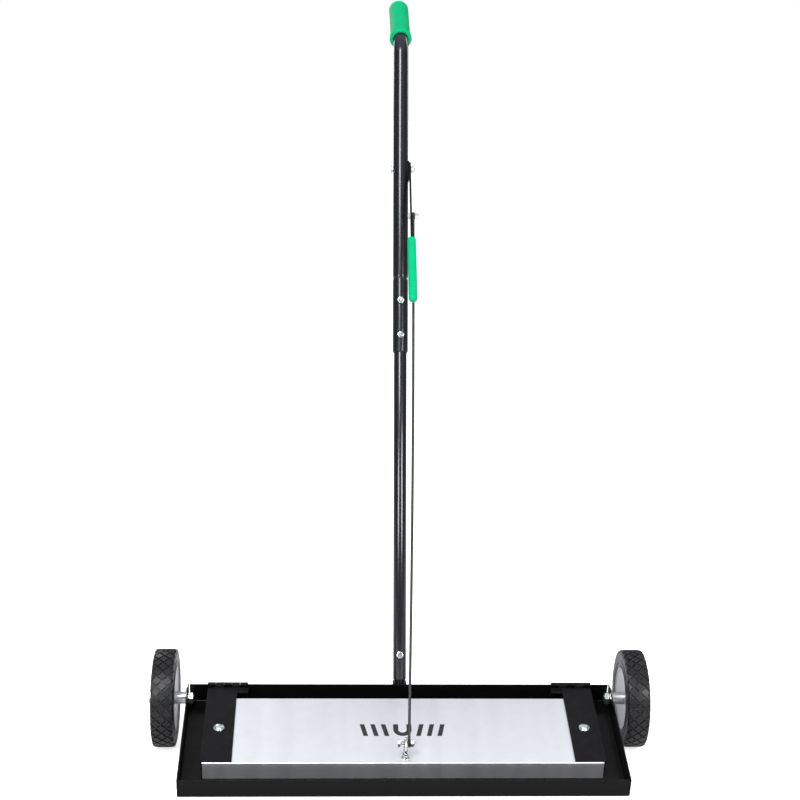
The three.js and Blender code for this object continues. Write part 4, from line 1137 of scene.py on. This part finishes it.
@dataclass
class MagnetUnit:
    """The hinged bar: cover, plate, magnets, end brackets, hinges and the lifting eye.

    Attributes:
        looks: The finishes.
        fasteners: Maker of bolts and nuts.
        sheet: Thickness of the cover's sheet.
        fold: Outer radius of the cover's folds.
        rivet: Radius of the hinge rivets.
    """

    looks: Finishes
    fasteners: Fastener
    sheet: float = 1.5 * MM
    fold: float = 1.9 * MM
    rivet: float = 2.3 * MM

    def build(self) -> None:
        """Makes the unit's pieces."""
        self.place = tray_place()
        self.cover()
        dress_node("back_plate", self.looks.steel, 0.0004)
        for i in range(1, 7):
            dress_node(f"magnet_block_{i}", self.looks.ferrite, 0.0008)
        for side in Side:
            name = side.label
            dress_node(f"end_bracket_{name}", self.looks.bracket, 0.0005)
            self.fasteners.dome(f"bracket_bolt_{name}", Body.MAGNET, self.place.z)
            dress_node(f"bracket_nut_{name}", self.looks.zinc, 0.0004)
            for leaf in ("fixed", "moving"):
                dress_node(f"hinge_leaf_{leaf}_{name}", self.looks.bracket, 0.0003)
            dress_node(f"hinge_pin_{name}", self.looks.zinc, 0.0003)
            self.hinge_rivets(side)
        self.mark()
        self.eye()

    def cover(self) -> None:
        """Folds the cover from one sheet, with rounded folds, and closes it at both ends."""
        low, high = self.place.box("magnet_cover")
        radius, inner = self.fold, self.fold - self.sheet
        top, front, rear, lip = high.z, low.y, high.y, low.z
        outside = [(front, lip)] + arc((front + radius, top - radius), radius, 180, 90, 6)
        outside += arc((rear - radius, top - radius), radius, 90, 0, 6) + [(rear, lip)]
        inside = [(rear - self.sheet, lip)]
        inside += arc((rear - radius, top - radius), inner, 0, 90, 6)
        inside += arc((front + radius, top - radius), inner, 90, 180, 6)
        inside.append((front + self.sheet, lip))
        outline = outside + inside
        form = Form()
        rows = [form.ring(Vector((x, y, z)) for y, z in outline) for x in (low.x, high.x)]
        form.skin(rows)
        count = len(outline)
        for row in rows:
            for i in range(count // 2 - 1):
                form.mesh.faces.new((row[i], row[i + 1], row[count - 2 - i], row[count - 1 - i]))
        made = form.finish("magnet_cover_folded", self.place.matrix)
        place_piece(soften(made, 0.0), Body.MAGNET, "cover_metal", self.looks.cover, "magnet_cover")

    def hinge_rivets(self, side: Side) -> None:
        """Sets one round rivet head near the hinge's moving leaf."""
        form = Form()
        cap = [(0.0, 0.7 * MM), (0.5 * self.rivet, 0.6 * MM), (0.85 * self.rivet, 0.35 * MM),
               (self.rivet, 0.0), (self.rivet, -0.2 * MM), (0.0, -0.2 * MM)]
        low, high = self.place.box(f"hinge_leaf_moving_{side.label}")
        bracket_low, bracket_high = self.place.box(f"end_bracket_{side.label}")
        outside = low.x if side is Side.RIGHT else high.x
        inside = bracket_low.x if side is Side.RIGHT else bracket_high.x
        form.lathe(cap, 20)
        spot = Vector(((outside + inside) / 2, low.y + 8.0 * MM, bracket_low.z - 0.3 * MM))
        bmesh.ops.transform(form.mesh, matrix=Matrix.Translation(spot), verts=form.mesh.verts)
        made = soften(form.finish(f"hinge_rivets_{side.label}", self.place.matrix), 0.0)
        place_piece(made, Body.MAGNET, "black_coat", self.looks.bracket)

    def mark(self) -> None:
        """Prints a plain pictogram: a horseshoe magnet between two rows of slanted bars."""
        low, high = self.place.box("magnet_cover")
        level = high.z + 0.06 * MM
        form = Form()
        centre = Vector(((low.x + high.x) / 2, low.y + 0.5 * (high.y - low.y)))
        half = 16.0 * MM
        outer, inner = half, 0.45 * half
        horseshoe = arc((0, 0), outer, 180, 360, 20) + [(outer, 0.9 * half), (inner, 0.9 * half)]
        horseshoe += arc((0, 0), inner, 360, 180, 16) + [(-inner, 0.9 * half), (-outer, 0.9 * half)]
        form.plate([(centre.x + x, centre.y + y) for x, y in horseshoe], level - 0.03 * MM, level)
        for sign in (-1, 1):
            for i in range(3):
                start = sign * (1.9 * half + i * 1.15 * half)
                bar = [(-0.45, -1.0), (0.05, -1.0), (0.45, 0.9), (-0.05, 0.9)]
                outline = [(centre.x + start + sign * x * half, centre.y + y * half) for x, y in bar]
                form.plate(outline, level - 0.03 * MM, level)
        made = form.finish("cover_pictogram", self.place.matrix)
        place_piece(made, Body.MAGNET, "black_coat", self.looks.ink)

    def eye(self) -> None:
        """Bends the lifting eye from round wire, with its washer and nuts."""
        low, high = self.place.box("eye_bolt")
        wire = (high.x - low.x) / 2 if high.x - low.x < 0.007 else 3.0 * MM
        outer = (high.y - low.y) / 2
        centre = Vector(((low.x + high.x) / 2, (low.y + high.y) / 2, high.z - outer))
        wire = min(wire, outer / 2)
        form = Form()
        rows = []
        for i in range(40):
            turn = 2 * math.pi * i / 40
            spoke = Vector((0, math.cos(turn), math.sin(turn)))
            rows.append(form.ring(centre + spoke * (outer - wire + wire * b) + Vector((wire * a, 0, 0))
                                  for a, b in arc((0, 0), 1.0, 0, 330, 11)))
        form.skin(rows, joined=True)
        shank = Form()
        radius = 3.175 * MM
        top = high.z - 2 * outer + wire
        self.fasteners.threaded(shank, radius, low.z, top)
        bmesh.ops.translate(shank.mesh, vec=Vector((centre.x, centre.y, 0)), verts=shank.mesh.verts)
        data = bpy.data.meshes.new("shank")
        shank.mesh.to_mesh(data)
        shank.mesh.free()
        form.mesh.from_mesh(data)
        bpy.data.meshes.remove(data)
        made = soften(form.finish("eye_bolt_bent", self.place.matrix), 0.0)
        place_piece(made, Body.MAGNET, "zinc", self.looks.zinc, "eye_bolt")
        dress_node("eye_washer", self.looks.zinc, 0.0003)
        up = self.place.z
        self.fasteners.nut("eye_nut_upper", Body.MAGNET, up)
        self.fasteners.nut("eye_nut_lower", Body.MAGNET, -up)


@dataclass
class Handle:
    """Two tubes, the grip and their bolts.

    Attributes:
        looks: The finishes.
        fasteners: Maker of bolts and nuts.
        crimp: Depth of the rolled crimp in the upper tube.
        bend: Radius of the bend before the grip.
        wall: Wall of the tubes.
    """

    looks: Finishes
    fasteners: Fastener
    crimp: float = 1.1 * MM
    bend: float = 55.0 * MM
    wall: float = 1.4 * MM

    def build(self) -> None:
        """Makes the handle's pieces."""
        self.place = handle_place()
        self.lower_tube()
        self.upper_tube()
        self.grip()
        front = -self.place.y
        for joint, head in (("handle_base", front), ("handle_joint_lower", -front),
                            ("handle_joint_upper", -front)):
            self.fasteners.bolt(f"{joint}_bolt", Body.FRAME, head)
            self.fasteners.nut(f"{joint}_nut", Body.FRAME, -head)
        left = Vector((-1, 0, 0))
        self.fasteners.bolt("lever_pivot_bolt", Body.FRAME, left)
        self.fasteners.nut("lever_pivot_nut", Body.FRAME, -left)
        dress_node("lever_spacer", self.looks.powder, 0.0005)

    @staticmethod
    def rim(radius: float, inner: float, low: float, high: float) -> list[tuple[float, float]]:
        """Section of a tube with softly rounded ends, as (radius, height)."""
        soft = (radius - inner) / 2
        section = [(inner, low + soft)] + arc((inner + soft, low + soft), soft, 180, 360, 4)[1:]
        return section + arc((inner + soft, high - soft), soft, 0, 180, 4)

    def lower_tube(self) -> None:
        """Turns the straight lower tube."""
        low, high = self.place.box("lower_tube")
        radius = (high.x - low.x) / 2
        form = Form()
        form.lathe(self.rim(radius, radius - self.wall, low.z, high.z), 64)
        made = soften(form.finish("lower_tube_drawn", self.place.matrix), 0.0)
        place_piece(made, Body.FRAME, "black_tube", self.looks.enamel, "lower_tube")

    def upper_tube(self) -> None:
        """Bends the upper tube towards the operator, with its rolled crimp."""
        low, high = self.place.box("upper_tube")
        radius = (high.x - low.x) / 2
        lower_top = self.place.box("lower_tube")[1].z
        crimp = lower_top + 5.0 * MM
        grip = measure_round("handle_grip", self.place.z)
        angle = self.place.z.angle(grip.place.z)
        mouth = grip.place.origin + grip.place.z * grip.low
        height = (mouth - self.place.origin).dot(self.place.z)
        start = height - self.bend * math.sin(angle)
        heights = [low.z, low.z + 0.5 * MM, crimp - 5 * MM, crimp - 2.5 * MM, crimp - 1.2 * MM, crimp,
                   crimp + 1.2 * MM, crimp + 2.5 * MM, crimp + 5 * MM, start]
        sunk = {3: 0.12, 4: 0.7, 5: 1.0, 6: 0.7, 7: 0.12}
        spine = [Vector((0, 0, h)) for h in heights]
        steps = 20
        for i in range(1, steps + 1):
            turn = angle * i / steps
            spine.append(Vector((0, self.bend * (1 - math.cos(turn)),
                                 start + self.bend * math.sin(turn))))
        ahead = Vector((0, math.sin(angle), math.cos(angle)))
        spine.append(spine[-1] + ahead * (grip.length - 9 * MM))

        def section(i: int) -> list[tuple[float, float]]:
            """Outline of the tube at a step, sunk in the crimp."""
            size = radius - self.crimp * sunk.get(i, 0.0)
            if i == 0:
                size -= 0.4 * MM
            return arc((0, 0), size, 0, 360 * 63 / 64, 63)

        form = Form()
        form.sweep(spine, section, Vector((1, 0, 0)), bore=1 - self.wall / radius)
        made = soften(form.finish("upper_tube_bent", self.place.matrix), 0.0)
        place_piece(made, Body.FRAME, "black_tube", self.looks.enamel, "upper_tube")

    def grip(self) -> None:
        """Moulds the grip with its flared mouth and domed end."""
        size = measure_round("handle_grip", self.place.z)
        points = size.place.coordinates("handle_grip")
        reach = np.hypot(points[:, 0], points[:, 1])
        mouth = size.radius
        body = float(reach[(points[:, 2] > size.low + 0.3 * size.length)
                           & (points[:, 2] < size.high - 0.03 * size.length)].max())
        bore = float(reach[points[:, 2] < size.low + 0.1 * MM].min())
        low, high = size.low, size.high
        end = 7.4 * MM
        profile = [(bore, low + 0.8 * MM)]
        profile += arc((bore + 0.9 * MM, low + 0.9 * MM), 0.9 * MM, 200, 270, 3)
        profile += arc((mouth - 2.4 * MM, low + 2.4 * MM), 2.4 * MM, 270, 360, 6)
        swell = mouth - body
        for i in range(9):
            share = 0.5 + 0.5 * math.cos(math.pi * i / 8)
            profile.append((body + swell * share, low + (5.0 + 2.6 * i) * MM))
        profile += [(body - 0.2 * MM, (low + high) / 2), (body, high - end - 6 * MM)]
        profile += arc((body - end, high - end), end, 0, 84, 8)
        profile += [(0.35 * body, high), (0.0, high)]
        inside = [(0.0, high - end), (bore - 1.0 * MM, high - end), (bore, high - end - MM)]
        form = Form()
        form.lathe(profile + inside, 96)
        self.close_lathe(form)
        made = soften(form.finish("handle_grip_moulded", size.place.matrix), 0.0)
        place_piece(made, Body.FRAME, "green_grip", self.looks.vinyl, "handle_grip")

    @staticmethod
    def close_lathe(form: Form) -> None:
        """Joins the open rims at the mouth of a turned shell."""
        rims = [edge for edge in form.mesh.edges if edge.is_boundary]
        if rims:
            bmesh.ops.bridge_loops(form.mesh, edges=rims)


@dataclass
class Lever:
    """The release lever: bar, dipped grip and the rod's bolt.

    Attributes:
        looks: The finishes.
        fasteners: Maker of bolts and nuts.
        groove: Depth of the groove near the grip's lower end.
    """

    looks: Finishes
    fasteners: Fastener
    groove: float = 0.7 * MM

    def build(self) -> None:
        """Makes the lever's pieces."""
        self.place = lever_place()
        dress_node("lever_bar", self.looks.powder, 0.0004)
        left = Vector((-1, 0, 0))
        self.fasteners.bolt("rod_bolt", Body.LEVER, left)
        self.fasteners.nut("rod_nut", Body.LEVER, -left)
        self.grip()

    def grip(self) -> None:
        """Shapes the dipped grip: a long soft pad with round ends and one shallow groove."""
        low, high = self.place.box("lever_grip")
        middle_point = (low + high) / 2
        half = (high - low) / 2
        steps = 44
        cut = 0.19
        stations = sorted({-math.cos(math.pi * i / steps) for i in range(steps + 1)}
                          | {-1 + 2 * (cut + d) for d in (-0.012, -0.006, 0.0, 0.006, 0.012)})
        end = half.x * 0.95
        spine, sizes = [], []
        for station in stations:
            height = station * half.z
            past = max(0.0, abs(height) - (half.z - end)) / end
            scale = math.sqrt(max(1 - past * past, 0.0004))
            near = abs(station - (-1 + 2 * cut)) / 0.012
            scale -= self.groove / half.x * max(0.0, 1 - near)
            spine.append(Vector((middle_point.x, middle_point.y, middle_point.z + height)))
            sizes.append(scale)

        def section(i: int) -> list[tuple[float, float]]:
            """Rounded rectangle at a step."""
            points = []
            for k in range(36):
                angle = 2 * math.pi * k / 36
                a, b = math.cos(angle), math.sin(angle)
                points.append((half.x * sizes[i] * math.copysign(abs(a) ** 0.72, a),
                               half.y * sizes[i] * math.copysign(abs(b) ** 0.72, b)))
            return points

        form = Form()
        form.sweep(spine, section, Vector((1, 0, 0)))
        made = soften(form.finish("lever_grip_dipped", self.place.matrix), 0.0)
        place_piece(made, Body.LEVER, "green_vinyl", self.looks.vinyl, "lever_grip")


@dataclass
class Rod:
    """The release rod and the bolt in the lifting eye."""

    looks: Finishes
    fasteners: Fastener

    def build(self) -> None:
        """Makes the rod's pieces."""
        dress_node("release_rod", self.looks.rod_paint, 0.0)
        left = Vector((-1, 0, 0))
        self.fasteners.bolt("lifting_bolt", Body.ROD, left)
        self.fasteners.nut("lifting_bolt_nut", Body.ROD, -left)


# ------------------------------------------------------------------ studio


@dataclass
class Studio:
    """Floor, soft light and camera.

    Attributes:
        floor_material: Finish of the floor.
        camera_spot: Where the camera stands.
        yaw: Turn of the camera to the right, in degrees.
        pitch: Tilt of the camera down, in degrees.
        roll: Turn about its own axis, in degrees.
        lens: Focal length over a 36 mm wide sensor.
        floor_size: Side of the floor.
    """

    floor_material: bpy.types.Material
    camera_spot: Vector = field(default_factory=lambda: Vector((-0.1431, -2.9034, 1.2129)))
    yaw: float = 2.792
    pitch: float = 11.967
    roll: float = 1.139
    lens: float = 72.29
    floor_size: float = 60.0

    def build(self) -> None:
        """Sets the studio up."""
        self.camera()
        self.floor()
        self.world()
        low, high = (Vector(corner) for corner in CAD_BOX)
        focus = (low + high) / 2
        self.softbox("key_left", focus, azimuth=-21.0, elevation=48.0, distance=4.4,
                     size=(1.35, 1.9), radiance=17.0)
        self.softbox("low_left", focus, azimuth=-30.0, elevation=17.0, distance=3.6,
                     size=(1.0, 1.0), radiance=17.0)
        self.softbox("low_right", focus, azimuth=34.0, elevation=18.0, distance=3.4,
                     size=(0.95, 1.15), radiance=19.0)
        self.softbox("back_left", focus, azimuth=205.0, elevation=24.0, distance=3.8,
                     size=(0.9, 2.2), radiance=3.5)
        self.softbox("back_right", focus, azimuth=135.0, elevation=24.0, distance=3.8,
                     size=(0.7, 2.2), radiance=3.5)

    def camera(self) -> None:
        """Creates the camera and makes it the scene's."""
        data = bpy.data.cameras.new("camera")
        data.sensor_width = 36.0
        data.lens = self.lens
        data.clip_end = 200.0
        seen = bpy.data.objects.new("camera", data)
        turn = Matrix.Rotation(math.radians(-self.yaw), 4, "Z")
        tilt = Matrix.Rotation(math.radians(90 - self.pitch), 4, "X")
        bank = Matrix.Rotation(math.radians(self.roll), 4, "Z")
        seen.matrix_world = Matrix.Translation(self.camera_spot) @ turn @ tilt @ bank
        bpy.context.scene.collection.objects.link(seen)
        bpy.context.scene.camera = seen

    def floor(self) -> None:
        """Lays the floor."""
        form = Form()
        half = self.floor_size / 2
        corners = form.ring(Vector((x * half, y * half, 0.0))
                            for x, y in ((-1, -1), (1, -1), (1, 1), (-1, 1)))
        form.mesh.faces.new(corners)
        made = dress(form.finish("studio_floor"), self.floor_material)

    def softbox(self, name: str, focus: Vector, azimuth: float, elevation: float,
                distance: float, size: tuple[float, float], radiance: float) -> None:
        """Hangs a rectangular light that looks at the focus.

        Args:
            name: Name of the light.
            focus: What it looks at.
            azimuth: Angle from the front, to the right, in degrees.
            elevation: Angle above the horizon, in degrees.
            distance: Distance from the focus.
            size: Width and height.
            radiance: Brightness of its face.
        """
        data = bpy.data.lights.new(name, "AREA")
        data.shape = "RECTANGLE"
        data.size, data.size_y = size
        data.energy = radiance * math.pi * size[0] * size[1]
        made = bpy.data.objects.new(name, data)
        turn, rise = math.radians(azimuth), math.radians(elevation)
        away = Vector((math.sin(turn) * math.cos(rise), -math.cos(turn) * math.cos(rise),
                       math.sin(rise)))
        made.location = focus + away * distance
        made.rotation_euler = away.to_track_quat("Z", "Y").to_euler()
        bpy.context.scene.collection.objects.link(made)

    @staticmethod
    def world() -> None:
        """Gives the room a bright ceiling and dim walls, and a white backdrop."""
        world = bpy.data.worlds.new("studio")
        world.use_nodes = True
        bpy.context.scene.world = world
        net = Net(world.node_tree)
        back = world.node_tree.nodes["Background"]
        ray = net.add("TexCoord").outputs["Generated"]
        rise = net.add("SeparateXYZ", {0: ray}).outputs["Z"]
        ramp = net.add("ValToRGB", {0: rise})
        ramp.color_ramp.elements[0].position = 0.45
        ramp.color_ramp.elements[0].color = (0.165, 0.175, 0.21, 1)
        ramp.color_ramp.elements[1].position = 0.85
        ramp.color_ramp.elements[1].color = (0.79, 0.80, 0.83, 1)
        seen = net.add("LightPath").outputs["Is Camera Ray"]
        net.tree.links.new(net.mix(seen, ramp.outputs[0], (1.0, 1.0, 1.0)), back.inputs["Color"])
        back.inputs["Strength"].default_value = 1.0
        bpy.context.scene.view_settings.view_transform = "Standard"


def main() -> None:
    """Builds the studio and then each sub-assembly in order."""
    logging.basicConfig(level=logging.INFO, format="%(message)s")
    looks = Finishes()
    Studio(looks.floor).build()
    fasteners = Fastener(looks.zinc)
    Tray(looks, fasteners).build()
    for side in Side:
        Wheel(side, looks).build()
    MagnetUnit(looks, fasteners).build()
    Handle(looks, fasteners).build()
    Lever(looks, fasteners).build()
    Rod(looks, fasteners).build()
    bpy.context.view_layer.update()


if __name__ == "__main__":
    main()
